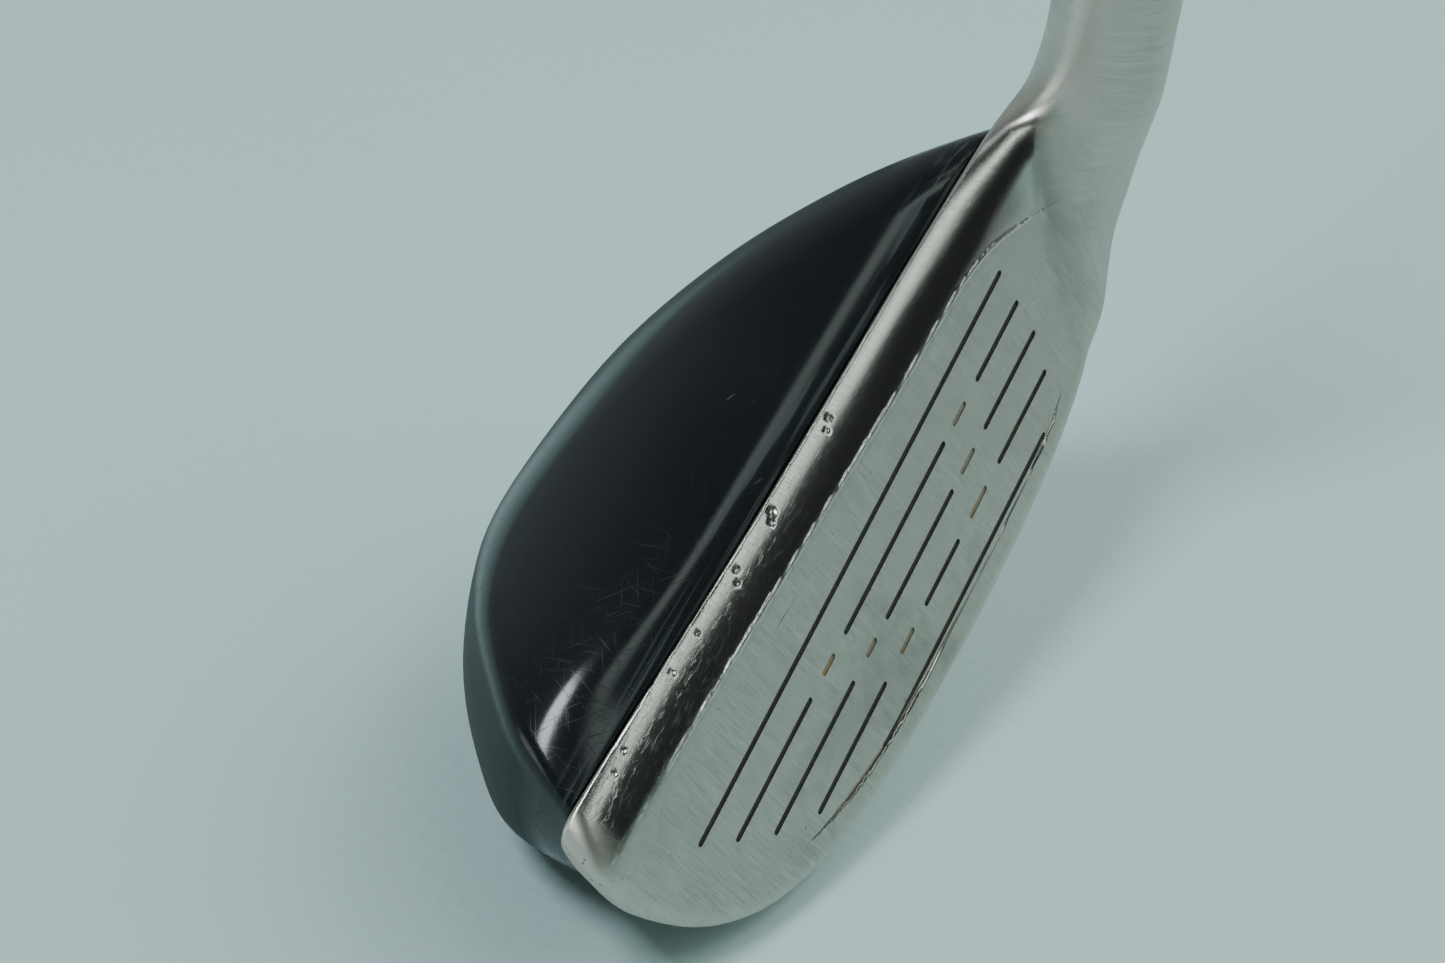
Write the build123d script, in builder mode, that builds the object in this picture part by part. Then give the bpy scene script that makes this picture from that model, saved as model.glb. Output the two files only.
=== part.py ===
"""Hybrid golf club: hollow steel head, graphite shaft and rubber grip, as separate pieces.

Millimetres. The shaft axis is +Z and runs up to the grip. The origin is the point where
that axis meets the ground when the club is soled, which is where a club's length starts.
+Y points at the target and +X leans to the toe side, 30 degrees above the ground line.
"""

from build123d import *
import math
import os

os.makedirs("parts", exist_ok=True)

# ---- driving dimensions -------------------------------------------------------------
LIE = 60.0  # shaft above the ground, degrees
LOFT = 22.0  # face leaned back, degrees
CLUB_LENGTH = 1003.0  # 39.5 inches, ground to butt along the shaft

# Head outlines. x runs along the ground from the shaft axis to the toe, z is height above
# the ground and y is towards the target.
FACE_BASE_Y = 9.9  # where the face plane would meet the ground
SOLE_LINE = ((-12, 9.0), (-4, 4.6), (10, 1.3), (30, 0.0), (50, 1.0), (64, 3.8), (74, 8.4), (80, 15.0), (84, 26.0))
FACE_FOOT = ((-12, 15.0), (0, 11.5), (12, 8.6), (30, 7.8), (50, 8.8), (64, 11.4), (74, 15.8), (80, 22.5), (84, 31.0))
FACE_TOP = ((-12, 22.0), (0, 27.0), (8, 30.2), (24, 32.0), (48, 34.0), (70, 35.9), (80, 36.0), (84, 34.5))
RIDGE_LINE = ((-12, 31.0), (0, 33.4), (10, 34.6), (28, 35.1), (48, 36.6), (66, 38.2), (78, 38.7), (82, 38.0), (84, 36.0))
CROWN_PEAK = ((-12, 29.0), (0, 35.0), (16, 38.0), (44, 39.8), (62, 40.0), (76, 38.6), (82, 36.8), (84, 35.0))
BACK_LINE = ((-12, -12.0), (4, -23.5), (22, -36.0), (44, -42.0), (62, -39.0), (75, -29.5), (81, -18.5), (84, -9.5))
BACK_HEIGHT = ((-12, 17.0), (10, 13.0), (44, 12.0), (70, 14.0), (80, 20.0), (84, 31.0))
SEAM_HEEL_Y = -7.7
SEAM_TOE_Y = -9.4
SEAM_TOE_X = 80.0
SEAM_RISE = 0.5  # the band is nearly flat from its ridge back to the seam

# Where a section's crown peaks and bends to the back, as shares of its depth and height
PEAK_SHARE = 0.35
SHOULDER_SHARE = 0.82
SHOULDER_FALL = 0.36
SKIRT_SHARE = 0.72
SKIRT_RISE = 0.30
SOLE_SHARE = 0.25

# Places along the toe of the sections that the outside and the cavity go through
STATIONS = (-12, -4, 6, 20, 36, 52, 66, 75, 80, 82.7, 84)
CAVITY_STATIONS = (-3, 6, 20, 36, 52, 64, 72, 78, 80.8)
CROWN_SPLIT = 15.0  # height of the joint between crown and lower shell

WALL = 2.1
CROWN_WALL = 1.3
FACE_THICKNESS = 2.6
FACE_WALL = 3.4

# Hosel and shaft
HOSEL_RADIUS = 6.75
HOSEL_BOTTOM = 12.0
HOSEL_TOP = 68.0
BORE_RADIUS = 4.80
BORE_FLOOR = 33.0
STOP_HEIGHT = 3.0
TIP_RADIUS = 4.70  # a 0.370 inch tip
TIP_PARALLEL = 120.0
TIP_BORE_RADIUS = 3.0
TIP_BORE_LENGTH = 28.0
BUTT_RADIUS = 7.60
BUTT_PARALLEL = 272.0
BUTT_WALL = 1.1
FERRULE_LENGTH = 24.0
FERRULE_TOP_RADIUS = 5.5
RING_START = 3.0
RING_HEIGHT = 1.6
RING_DEPTH = 0.5
FERRULE_LIP_RADIUS = 4.9
TIP_WEIGHT_LENGTH = 22.0
LABEL_START = 640.0
LABEL_LENGTH = 70.0
LABEL_THICKNESS = 0.12

# Grip
GRIP_LENGTH = 266.0
TAPE_THICKNESS = 0.25
GRIP_MOUTH_RADIUS = 9.4
LIP_HEIGHT = 1.0
LIP_ROUNDING = 1.0
LIP_MIDDLE = 0.3
GRIP_LOW_SWELL = 0.6
GRIP_LOW_SHARE = 0.2
GRIP_HIGH_TAPER = 0.9
GRIP_HIGH_SHARE = 0.3
GRIP_BUTT_RADIUS = 13.4
CAP_RADIUS = 14.6
CAP_HEIGHT = 6.0
CAP_FLOOR = 3.2
CAP_ROUNDING = 2.6
VENT_RADIUS = 1.5

# Score lines by their height up the face: long painted ones and short marks between them
SCORE_LINES = {
    28.9: ((6.4, 75.3),),
    24.0: ((6.9, 17.2), (24.8, 48.3), (55.8, 72.4)),
    19.0: ((7.4, 20.1), (27.7, 43.7), (51.1, 69.2)),
    14.1: ((9.3, 21.4), (31.0, 39.3), (48.6, 64.4)),
    9.1: ((14.3, 53.9),),
}
SCORE_MARKS = {
    24.0: ((19.8, 22.8), (50.6, 53.2)),
    19.0: ((22.5, 25.8), (46.0, 48.3)),
    14.1: ((24.3, 28.3), (42.0, 45.2)),
}
LINE_WIDTH = 0.75
LINE_DEPTH = 0.45
PAINT_THICKNESS = 0.25

# Face plate outline, by distance along the ground and height up the face
PLATE_OUTLINE = (
    (3.6, 18.0),
    (10.0, 8.9),
    (22.0, 7.5),
    (36.0, 7.4),
    (50.0, 7.7),
    (62.0, 10.2),
    (73.0, 16.8),
    (78.3, 26.0),
    (77.0, 35.0),
    (60.0, 35.0),
    (40.0, 33.2),
    (20.0, 31.6),
    (9.5, 31.0),
    (4.4, 28.4),
)
PLATE_REACH = 3.0  # how far the plate's cutting prism stands in front of the face
BEAD_WIDTH = 1.5
BEAD_HEIGHT = 0.7

# Lower shell: weight port, badge and what is fixed inside
PORT_X = 42.0
PORT_Y = -25.0
PORT_Z = 3.3
PORT_TILT = 13.0
PORT_DEPTH = 1.0
WEIGHT_HEAD_RADIUS = 6.0
WEIGHT_HEAD_HEIGHT = 1.6
WEIGHT_SHANK_RADIUS = 4.5
WEIGHT_LENGTH = 8.0
WEIGHT_SOCKET_WIDTH = 4.0
WEIGHT_SOCKET_DEPTH = 3.0
WEIGHT_CHAMFER = 0.4
SEAL_HEIGHT = 0.4
PORT_CLEARANCE = 0.05
BOSS_RADIUS = 7.4
BOSS_HEIGHT = 9.0
BADGE_X = 18.0
BADGE_Y = -17.0
BADGE_Z = 1.9
BADGE_TILT = 10.0
BADGE_LENGTH = 15.0
BADGE_WIDTH = 8.0
BADGE_THICKNESS = 0.8
LEDGE_WIDTH = 1.2
LEDGE_HALF_HEIGHT = 1.6
BACK_WEIGHT_HEEL_X = 26.0
BACK_WEIGHT_TOE_X = 58.0
BACK_WEIGHT_FRONT_Y = -35.0
BACK_WEIGHT_TOP = 12.0
DAMPER_X = 62.0
DAMPER_Y = -16.0
DAMPER_LENGTH = 16.0
DAMPER_WIDTH = 13.0
DAMPER_TOP = 8.5

# ---- frames and outlines ------------------------------------------------------------
tilt = math.radians(90 - LIE)
toe = Vector(math.cos(tilt), 0, -math.sin(tilt))
rise = Vector(math.sin(tilt), 0, math.cos(tilt))
target = Vector(0, 1, 0)
loft_angle = math.radians(LOFT)
face_normal = target * math.cos(loft_angle) + rise * math.sin(loft_angle)
face_up = rise * math.cos(loft_angle) - target * math.sin(loft_angle)


def place(x, y, z):
    """A point given along the ground, towards the target and above the ground."""
    return toe * x + target * y + rise * z


def smooth(line, x):
    """Height of a smooth curve through the line's points, without overshoot at the ends."""
    x = min(max(x, line[0][0]), line[-1][0])
    k = next(i for i in range(len(line) - 1) if x <= line[i + 1][0])
    (x0, y0), (x1, y1) = line[k], line[k + 1]
    span = x1 - x0
    chord = (y1 - y0) / span
    before = (y0 - line[k - 1][1]) / (x0 - line[k - 1][0]) if k else chord
    after = (line[k + 2][1] - y1) / (line[k + 2][0] - x1) if k + 2 < len(line) else chord
    start = (before + chord) / 2
    end = (after + chord) / 2
    t = (x - x0) / span
    return (
        y0 * (1 + 2 * t) * (1 - t) ** 2
        + y1 * t * t * (3 - 2 * t)
        + span * (start * t * (1 - t) ** 2 - end * t * t * (1 - t))
    )


def face_y(z):
    """Where the face plane stands at a height."""
    return FACE_BASE_Y - z * math.tan(loft_angle)


def seam_y(x):
    """The steel front meets the black shells on this line."""
    return SEAM_HEEL_Y + (SEAM_TOE_Y - SEAM_HEEL_Y) * x / SEAM_TOE_X


def station(x):
    """Section plane across the head: local axes are towards the target and up."""
    return Plane(origin=toe * x, x_dir=target, z_dir=toe)


def corners(x):
    """The points that a section of the head's outside goes through, as (y, z)."""
    foot = smooth(FACE_FOOT, x)
    top = smooth(FACE_TOP, x)
    ridge = smooth(RIDGE_LINE, x)
    sole = smooth(SOLE_LINE, x)
    peak = smooth(CROWN_PEAK, x)
    back = smooth(BACK_LINE, x)
    waist = smooth(BACK_HEIGHT, x)
    seam = seam_y(x)
    depth = seam - back
    foot_point = (face_y(foot), foot)
    top_point = (face_y(top), top)
    ridge_point = ((face_y(top) + seam) / 2, ridge)
    seam_point = (seam, ridge + SEAM_RISE)
    crown_mid = (seam - PEAK_SHARE * depth, peak)
    shoulder = (seam - SHOULDER_SHARE * depth, peak - SHOULDER_FALL * (peak - waist))
    waist_point = (back, waist)
    heel_of_sole = (seam - SKIRT_SHARE * depth, sole + SKIRT_RISE * (waist - sole))
    sole_point = (seam + SOLE_SHARE * (foot_point[0] - seam), sole)
    return foot_point, top_point, ridge_point, seam_point, crown_mid, shoulder, waist_point, heel_of_sole, sole_point


def outer_outline(x):
    """One closed section of the head's outside."""
    foot, top, ridge, seam, crown_mid, shoulder, waist, heel_of_sole, sole = corners(x)
    Line(foot, top)
    Line(top, ridge)
    Line(ridge, seam)
    Spline(seam, crown_mid, shoulder, waist, tangents=[(-1, 0.3), (0, -1)])
    Spline(waist, heel_of_sole, sole, foot, tangents=[(0, -1), (-0.15, 1)])


def inner_outline(x, wall, crown_wall, face_wall):
    """One closed section of a cavity inside the head, a wall's thickness in from the outside."""
    foot, top, ridge, seam, crown_mid, shoulder, waist, heel_of_sole, sole = corners(x)
    slant = crown_wall * math.sqrt(0.5)
    roof = ridge[1] - 2.2 * crown_wall
    front_low = (foot[0] - face_wall - 0.3, foot[1] + 0.6)
    front_high = (face_y(roof) - face_wall, roof)
    roof_front = (seam[0] - 0.5, seam[1] - crown_wall)
    mid = (crown_mid[0], crown_mid[1] - crown_wall)
    rim = (shoulder[0] + slant, shoulder[1] - slant)
    rear = (waist[0] + wall, waist[1])
    floor_rear = (heel_of_sole[0] + 0.5 * wall, heel_of_sole[1] + 0.85 * wall)
    floor_front = (sole[0] - 1.0, sole[1] + wall)
    Line(front_low, front_high)
    Line(front_high, roof_front)
    Spline(roof_front, mid, rim, rear, tangents=[(-1, 0.3), (0, -1)])
    Spline(rear, floor_rear, floor_front, front_low, tangents=[(0, -1), (0.1, 1)])


def loft_along_toe(stations, outline, *sizes):
    """A solid through sections across the head."""
    with BuildPart() as body:
        for x in stations:
            with BuildSketch(station(x)):
                with BuildLine():
                    outline(x, *sizes)
                make_face()
        loft()
    return body.part


def tube_between(low, high, outer_low, outer_high, inner_low, inner_high):
    """Corners of a conical tube's half section, for turning about the shaft axis."""
    return [(inner_low, low), (outer_low, low), (outer_high, high), (inner_high, high)]


seam_line = (place(SEAM_TOE_X, SEAM_TOE_Y, 0) - place(0, SEAM_HEEL_Y, 0)).normalized()
seam_plane = Plane(origin=place(0, SEAM_HEEL_Y, 0), x_dir=seam_line, z_dir=rise.cross(seam_line))
split_plane = Plane(origin=rise * CROWN_SPLIT, x_dir=target, z_dir=rise)
face_plane = Plane(origin=target * FACE_BASE_Y, x_dir=-toe, z_dir=face_normal)


def sole_plane(x, y, z, backward_tilt):
    """Plane on the sole whose normal points into the head."""
    angle = math.radians(backward_tilt)
    inward = rise * math.cos(angle) + target * math.sin(angle)
    return Plane(origin=place(x, y, z), x_dir=toe, z_dir=inward)


def face_slots(rows, depth):
    """Slots along the rows, sketched on a plane at this depth behind the face."""
    with BuildSketch(face_plane.offset(-depth)) as slots:
        for height, spans in rows.items():
            for start, end in spans:
                with Locations((-(start + end) / 2, height)):
                    SlotOverall(end - start, LINE_WIDTH)
    return slots.sketch


def plate_outline(depth, inset=0.0):
    """The face plate's outline, drawn in by an inset, on a plane at this depth behind the face."""
    points = [Vector(-x, height) for x, height in PLATE_OUTLINE]
    count = len(points)
    inward = [(points[(k + 1) % count] - points[k - 1]).normalized().rotate(Axis.Z, -90) for k in range(count)]
    with BuildSketch(face_plane.offset(-depth)) as outline:
        with BuildLine():
            Spline([point + step * inset for point, step in zip(points, inward)], periodic=True)
        make_face()
    return outline.sketch


def turned(points):
    """A solid turned about the shaft axis from radius and height pairs."""
    with BuildPart() as body:
        with BuildSketch(Plane.XZ):
            Polygon(*points, align=None)
        revolve(axis=Axis.Z)
    return body.part


def shaft_radius(height):
    """Outside radius of the shaft: parallel tip, straight taper, parallel butt."""
    taper_start = BORE_FLOOR + TIP_PARALLEL
    taper_end = CLUB_LENGTH - BUTT_PARALLEL
    share = (height - taper_start) / (taper_end - taper_start)
    return TIP_RADIUS + (BUTT_RADIUS - TIP_RADIUS) * min(max(share, 0), 1)


head_outside = loft_along_toe(STATIONS, outer_outline)
head_cavity = loft_along_toe(CAVITY_STATIONS, inner_outline, WALL, CROWN_WALL, FACE_WALL)
lined_cavity = loft_along_toe(
    CAVITY_STATIONS, inner_outline, WALL + LEDGE_WIDTH, CROWN_WALL + LEDGE_WIDTH, FACE_WALL + LEDGE_WIDTH
)
port = sole_plane(PORT_X, PORT_Y, PORT_Z, PORT_TILT)
seal_seat = port.offset(PORT_DEPTH)
head_underside = seal_seat.offset(-SEAL_HEIGHT)
head_outer_face = head_underside.offset(-WEIGHT_HEAD_HEIGHT)
badge_seat = sole_plane(BADGE_X, BADGE_Y, BADGE_Z, BADGE_TILT)
bead_depth = FACE_THICKNESS + BEAD_HEIGHT
butt_inside = CLUB_LENGTH - CAP_FLOOR
cap_base = CLUB_LENGTH - CAP_HEIGHT
grip_mouth = CLUB_LENGTH - GRIP_LENGTH
tape_radius = BUTT_RADIUS + TAPE_THICKNESS
stop_base = BORE_FLOOR - STOP_HEIGHT

# ---- head: steel front --------------------------------------------------------------
plate_pocket = extrude(plate_outline(bead_depth), amount=bead_depth + PLATE_REACH, dir=face_normal)
plate_slab = extrude(plate_outline(FACE_THICKNESS), amount=FACE_THICKNESS + PLATE_REACH, dir=face_normal)
long_slots = extrude(face_slots(SCORE_LINES, LINE_DEPTH), amount=PLATE_REACH, dir=face_normal)
short_slots = extrude(face_slots(SCORE_MARKS, LINE_DEPTH), amount=PLATE_REACH, dir=face_normal)

# Hosel, heel, topline band and the rim round the face, cast in one piece
with BuildPart() as front_body:
    add(head_outside)
    split(bisect_by=seam_plane, keep=Keep.TOP)
    with BuildSketch(Plane.XY.offset(HOSEL_BOTTOM)):
        Circle(HOSEL_RADIUS)
    extrude(amount=HOSEL_TOP - HOSEL_BOTTOM)
    add(head_cavity, mode=Mode.SUBTRACT)
    add(plate_pocket, mode=Mode.SUBTRACT)
    with BuildSketch(Plane.XY.offset(stop_base)):
        Circle(BORE_RADIUS)
    extrude(amount=HOSEL_TOP - stop_base, mode=Mode.SUBTRACT)
front_body.part.label = "front_body"
export_step(front_body.part, "parts/front_body.step")

# Forged plate that closes the front, with its score lines cut in
with BuildPart() as face_plate:
    add(head_outside)
    add(plate_slab, mode=Mode.INTERSECT)
    add(long_slots, mode=Mode.SUBTRACT)
    add(short_slots, mode=Mode.SUBTRACT)
face_plate.part.label = "face_plate"
export_step(face_plate.part, "parts/face_plate.step")

# Weld along the back of the plate's edge
with BuildPart() as face_weld_bead:
    add(extrude(plate_outline(bead_depth), amount=bead_depth - FACE_THICKNESS, dir=face_normal))
    add(
        extrude(plate_outline(bead_depth, BEAD_WIDTH), amount=bead_depth - FACE_THICKNESS, dir=face_normal),
        mode=Mode.SUBTRACT,
    )
face_weld_bead.part.label = "face_weld_bead"
export_step(face_weld_bead.part, "parts/face_weld_bead.step")

# Paint in the bottom of the long lines, and the older paint left in the short marks
with BuildPart() as score_line_paint:
    add(extrude(face_slots(SCORE_LINES, LINE_DEPTH), amount=PAINT_THICKNESS, dir=face_normal))
score_line_paint.part.label = "score_line_paint"
export_step(score_line_paint.part, "parts/score_line_paint.step")

with BuildPart() as score_mark_paint:
    add(extrude(face_slots(SCORE_MARKS, LINE_DEPTH), amount=PAINT_THICKNESS, dir=face_normal))
score_mark_paint.part.label = "score_mark_paint"
export_step(score_mark_paint.part, "parts/score_mark_paint.step")

# ---- head: black shells and what they hold ------------------------------------------
with BuildPart() as crown:
    add(head_outside)
    split(bisect_by=seam_plane, keep=Keep.BOTTOM)
    split(bisect_by=split_plane, keep=Keep.TOP)
    add(head_cavity, mode=Mode.SUBTRACT)
crown.part.label = "crown"
export_step(crown.part, "parts/crown.step")

with BuildPart() as rear_shell:
    add(head_outside)
    split(bisect_by=seam_plane, keep=Keep.BOTTOM)
    split(bisect_by=split_plane, keep=Keep.BOTTOM)
    add(head_cavity, mode=Mode.SUBTRACT)
    with BuildSketch(seal_seat):
        Circle(WEIGHT_HEAD_RADIUS + PORT_CLEARANCE)
    extrude(amount=-BOSS_HEIGHT, mode=Mode.SUBTRACT)
    with BuildSketch(port):
        Circle(WEIGHT_SHANK_RADIUS + PORT_CLEARANCE)
    extrude(amount=BOSS_HEIGHT, mode=Mode.SUBTRACT)
    with BuildSketch(badge_seat.offset(-BOSS_HEIGHT)):
        Ellipse(BADGE_LENGTH / 2, BADGE_WIDTH / 2)
    extrude(amount=BOSS_HEIGHT + BADGE_THICKNESS, mode=Mode.SUBTRACT)
rear_shell.part.label = "rear_shell"
export_step(rear_shell.part, "parts/rear_shell.step")

# Strip that backs the joint between crown and lower shell
with BuildPart() as crown_ledge:
    add(head_cavity)
    add(lined_cavity, mode=Mode.SUBTRACT)
    split(bisect_by=seam_plane, keep=Keep.BOTTOM)
    split(bisect_by=split_plane.offset(-LEDGE_HALF_HEIGHT), keep=Keep.TOP)
    split(bisect_by=split_plane.offset(LEDGE_HALF_HEIGHT), keep=Keep.BOTTOM)
crown_ledge.part.label = "crown_ledge"
export_step(crown_ledge.part, "parts/crown_ledge.step")

# Boss inside the lower shell that takes the weight's shank
with BuildPart() as weight_boss:
    with BuildSketch(port.offset(-BOSS_HEIGHT)):
        Circle(BOSS_RADIUS)
    extrude(amount=2 * BOSS_HEIGHT)
    add(head_cavity, mode=Mode.INTERSECT)
    with BuildSketch(port.offset(-BOSS_HEIGHT)):
        Circle(WEIGHT_SHANK_RADIUS + PORT_CLEARANCE)
    extrude(amount=3 * BOSS_HEIGHT, mode=Mode.SUBTRACT)
    with BuildSketch(seal_seat):
        Circle(WEIGHT_HEAD_RADIUS + PORT_CLEARANCE)
    extrude(amount=-BOSS_HEIGHT, mode=Mode.SUBTRACT)
weight_boss.part.label = "weight_boss"
export_step(weight_boss.part, "parts/weight_boss.step")

# Swing weight screw, flush with the sole, with a hexagon socket
with BuildPart() as sole_weight:
    with BuildSketch(head_outer_face):
        Circle(WEIGHT_HEAD_RADIUS)
    extrude(amount=WEIGHT_HEAD_HEIGHT)
    rims = sole_weight.edges().filter_by(GeomType.CIRCLE).sort_by(Axis(port.origin, port.z_dir))
    chamfer(rims[0], WEIGHT_CHAMFER)
    with BuildSketch(head_underside):
        Circle(WEIGHT_SHANK_RADIUS)
    extrude(amount=WEIGHT_LENGTH)
    with BuildSketch(head_outer_face):
        RegularPolygon(WEIGHT_SOCKET_WIDTH / 2, 6, major_radius=False)
    extrude(amount=WEIGHT_SOCKET_DEPTH, mode=Mode.SUBTRACT)
sole_weight.part.label = "sole_weight"
export_step(sole_weight.part, "parts/sole_weight.step")

# Flat seal ring under the weight's head
with BuildPart() as weight_seal:
    with BuildSketch(head_underside):
        Circle(WEIGHT_HEAD_RADIUS)
        Circle(WEIGHT_SHANK_RADIUS + PORT_CLEARANCE, mode=Mode.SUBTRACT)
    extrude(amount=SEAL_HEIGHT)
weight_seal.part.label = "weight_seal"
export_step(weight_seal.part, "parts/weight_seal.step")

# Blank oval badge bonded into a recess in the sole
with BuildPart() as sole_badge:
    with BuildSketch(badge_seat):
        Ellipse(BADGE_LENGTH / 2, BADGE_WIDTH / 2)
    extrude(amount=BADGE_THICKNESS)
sole_badge.part.label = "sole_badge"
export_step(sole_badge.part, "parts/sole_badge.step")

# Dense bar welded inside the trailing edge
with BuildPart() as back_weight:
    add(head_cavity)
    split(bisect_by=station(BACK_WEIGHT_HEEL_X), keep=Keep.TOP)
    split(bisect_by=station(BACK_WEIGHT_TOE_X), keep=Keep.BOTTOM)
    split(bisect_by=Plane(origin=target * BACK_WEIGHT_FRONT_Y, x_dir=toe, z_dir=target), keep=Keep.BOTTOM)
    split(bisect_by=Plane(origin=rise * BACK_WEIGHT_TOP, x_dir=target, z_dir=rise), keep=Keep.BOTTOM)
back_weight.part.label = "back_weight"
export_step(back_weight.part, "parts/back_weight.step")

# Pad of hot-melt glue on the floor of the head, which quietens it and trims its weight
with BuildPart() as damper_pad:
    with BuildSketch(Plane(origin=place(DAMPER_X, DAMPER_Y, 0), x_dir=toe, z_dir=rise)):
        Ellipse(DAMPER_LENGTH / 2, DAMPER_WIDTH / 2)
    extrude(amount=DAMPER_TOP)
    add(head_cavity, mode=Mode.INTERSECT)
damper_pad.part.label = "damper_pad"
export_step(damper_pad.part, "parts/damper_pad.step")

# ---- hosel joint --------------------------------------------------------------------
with BuildPart() as hosel_stop:
    add(turned([(0, stop_base), (BORE_RADIUS, stop_base), (BORE_RADIUS, BORE_FLOOR), (0, BORE_FLOOR)]))
hosel_stop.part.label = "hosel_stop"
export_step(hosel_stop.part, "parts/hosel_stop.step")

with BuildPart() as hosel_epoxy:
    add(turned(tube_between(BORE_FLOOR, HOSEL_TOP, BORE_RADIUS, BORE_RADIUS, TIP_RADIUS, TIP_RADIUS)))
hosel_epoxy.part.label = "hosel_epoxy"
export_step(hosel_epoxy.part, "parts/hosel_epoxy.step")

ring_base = HOSEL_TOP + RING_START
ring_top = ring_base + RING_HEIGHT
ferrule_top = HOSEL_TOP + FERRULE_LENGTH
ring_inner = HOSEL_RADIUS - RING_DEPTH

# Collar that hides the joint: straight below its ring, then tapering onto the shaft
with BuildPart() as ferrule:
    with BuildSketch(Plane.XZ):
        with BuildLine():
            Polyline(
                (TIP_RADIUS, ferrule_top),
                (TIP_RADIUS, HOSEL_TOP),
                (HOSEL_RADIUS, HOSEL_TOP),
                (HOSEL_RADIUS, ring_base),
                (ring_inner, ring_base),
                (ring_inner, ring_top),
                (HOSEL_RADIUS, ring_top),
            )
            Spline(
                (HOSEL_RADIUS, ring_top),
                (FERRULE_TOP_RADIUS + 0.2, (ring_top + ferrule_top) / 2),
                (FERRULE_LIP_RADIUS, ferrule_top),
                tangents=[(0, 1), (-0.02, 1)],
            )
            Line((FERRULE_LIP_RADIUS, ferrule_top), (TIP_RADIUS, ferrule_top))
        make_face()
    revolve(axis=Axis.Z)
ferrule.part.label = "ferrule"
export_step(ferrule.part, "parts/ferrule.step")

with BuildPart() as ferrule_ring:
    add(turned(tube_between(ring_base, ring_top, HOSEL_RADIUS, HOSEL_RADIUS, ring_inner, ring_inner)))
ferrule_ring.part.label = "ferrule_ring"
export_step(ferrule_ring.part, "parts/ferrule_ring.step")

# ---- shaft --------------------------------------------------------------------------
taper_start = BORE_FLOOR + TIP_PARALLEL
taper_end = CLUB_LENGTH - BUTT_PARALLEL
tip_bore_end = BORE_FLOOR + TIP_BORE_LENGTH
butt_bore = BUTT_RADIUS - BUTT_WALL
with BuildPart() as shaft:
    add(
        turned(
            [
                (TIP_BORE_RADIUS, BORE_FLOOR),
                (TIP_RADIUS, BORE_FLOOR),
                (TIP_RADIUS, taper_start),
                (BUTT_RADIUS, taper_end),
                (BUTT_RADIUS, butt_inside),
                (butt_bore, butt_inside),
                (butt_bore, taper_end),
                (TIP_BORE_RADIUS, tip_bore_end),
            ]
        )
    )
shaft.part.label = "shaft"
export_step(shaft.part, "parts/shaft.step")

tip_weight_top = BORE_FLOOR + TIP_WEIGHT_LENGTH
with BuildPart() as tip_weight:
    add(
        turned(
            [
                (0, BORE_FLOOR),
                (TIP_BORE_RADIUS, BORE_FLOOR),
                (TIP_BORE_RADIUS, tip_weight_top),
                (0, tip_weight_top),
            ]
        )
    )
tip_weight.part.label = "tip_weight"
export_step(tip_weight.part, "parts/tip_weight.step")

# Foil label wrapped round the shaft below the grip, left blank
label_end = LABEL_START + LABEL_LENGTH
label_low = shaft_radius(LABEL_START)
label_high = shaft_radius(label_end)
with BuildPart() as shaft_label:
    add(
        turned(
            tube_between(
                LABEL_START,
                label_end,
                label_low + LABEL_THICKNESS,
                label_high + LABEL_THICKNESS,
                label_low,
                label_high,
            )
        )
    )
shaft_label.part.label = "shaft_label"
export_step(shaft_label.part, "parts/shaft_label.step")

# ---- grip ---------------------------------------------------------------------------
with BuildPart() as grip_tape:
    add(turned(tube_between(grip_mouth, butt_inside, tape_radius, tape_radius, BUTT_RADIUS, BUTT_RADIUS)))
grip_tape.part.label = "grip_tape"
export_step(grip_tape.part, "parts/grip_tape.step")

# Tapered rubber sleeve with a rolled lip at its mouth
with BuildPart() as grip:
    with BuildSketch(Plane.XZ):
        with BuildLine():
            Polyline(
                (tape_radius, grip_mouth),
                (tape_radius, cap_base),
                (GRIP_BUTT_RADIUS, cap_base),
            )
            Spline(
                (GRIP_BUTT_RADIUS, cap_base),
                (GRIP_BUTT_RADIUS - GRIP_HIGH_TAPER, cap_base - GRIP_HIGH_SHARE * GRIP_LENGTH),
                (GRIP_MOUTH_RADIUS + GRIP_LOW_SWELL, grip_mouth + GRIP_LOW_SHARE * GRIP_LENGTH),
                (GRIP_MOUTH_RADIUS, grip_mouth + LIP_HEIGHT),
                tangents=[(0, -1), (0, -1)],
            )
            ThreePointArc(
                (GRIP_MOUTH_RADIUS, grip_mouth + LIP_HEIGHT),
                (GRIP_MOUTH_RADIUS - LIP_MIDDLE, grip_mouth + LIP_MIDDLE),
                (GRIP_MOUTH_RADIUS - LIP_ROUNDING, grip_mouth),
            )
            Line((GRIP_MOUTH_RADIUS - LIP_ROUNDING, grip_mouth), (tape_radius, grip_mouth))
        make_face()
    revolve(axis=Axis.Z)
grip.part.label = "grip"
export_step(grip.part, "parts/grip.step")

# Butt cap over the end of the shaft, with the vent hole that lets the grip slide on
with BuildPart() as grip_cap:
    with BuildSketch(Plane.XY.offset(cap_base)):
        Circle(CAP_RADIUS)
    extrude(amount=CAP_HEIGHT)
    fillet(grip_cap.edges().filter_by(GeomType.CIRCLE).sort_by(Axis.Z)[-1], CAP_ROUNDING)
    with BuildSketch(Plane.XY.offset(cap_base)):
        Circle(tape_radius)
    extrude(amount=CAP_HEIGHT - CAP_FLOOR, mode=Mode.SUBTRACT)
    with BuildSketch(Plane.XY.offset(butt_inside)):
        Circle(VENT_RADIUS)
    extrude(amount=CAP_FLOOR, mode=Mode.SUBTRACT)
grip_cap.part.label = "grip_cap"
export_step(grip_cap.part, "parts/grip_cap.step")
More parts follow.
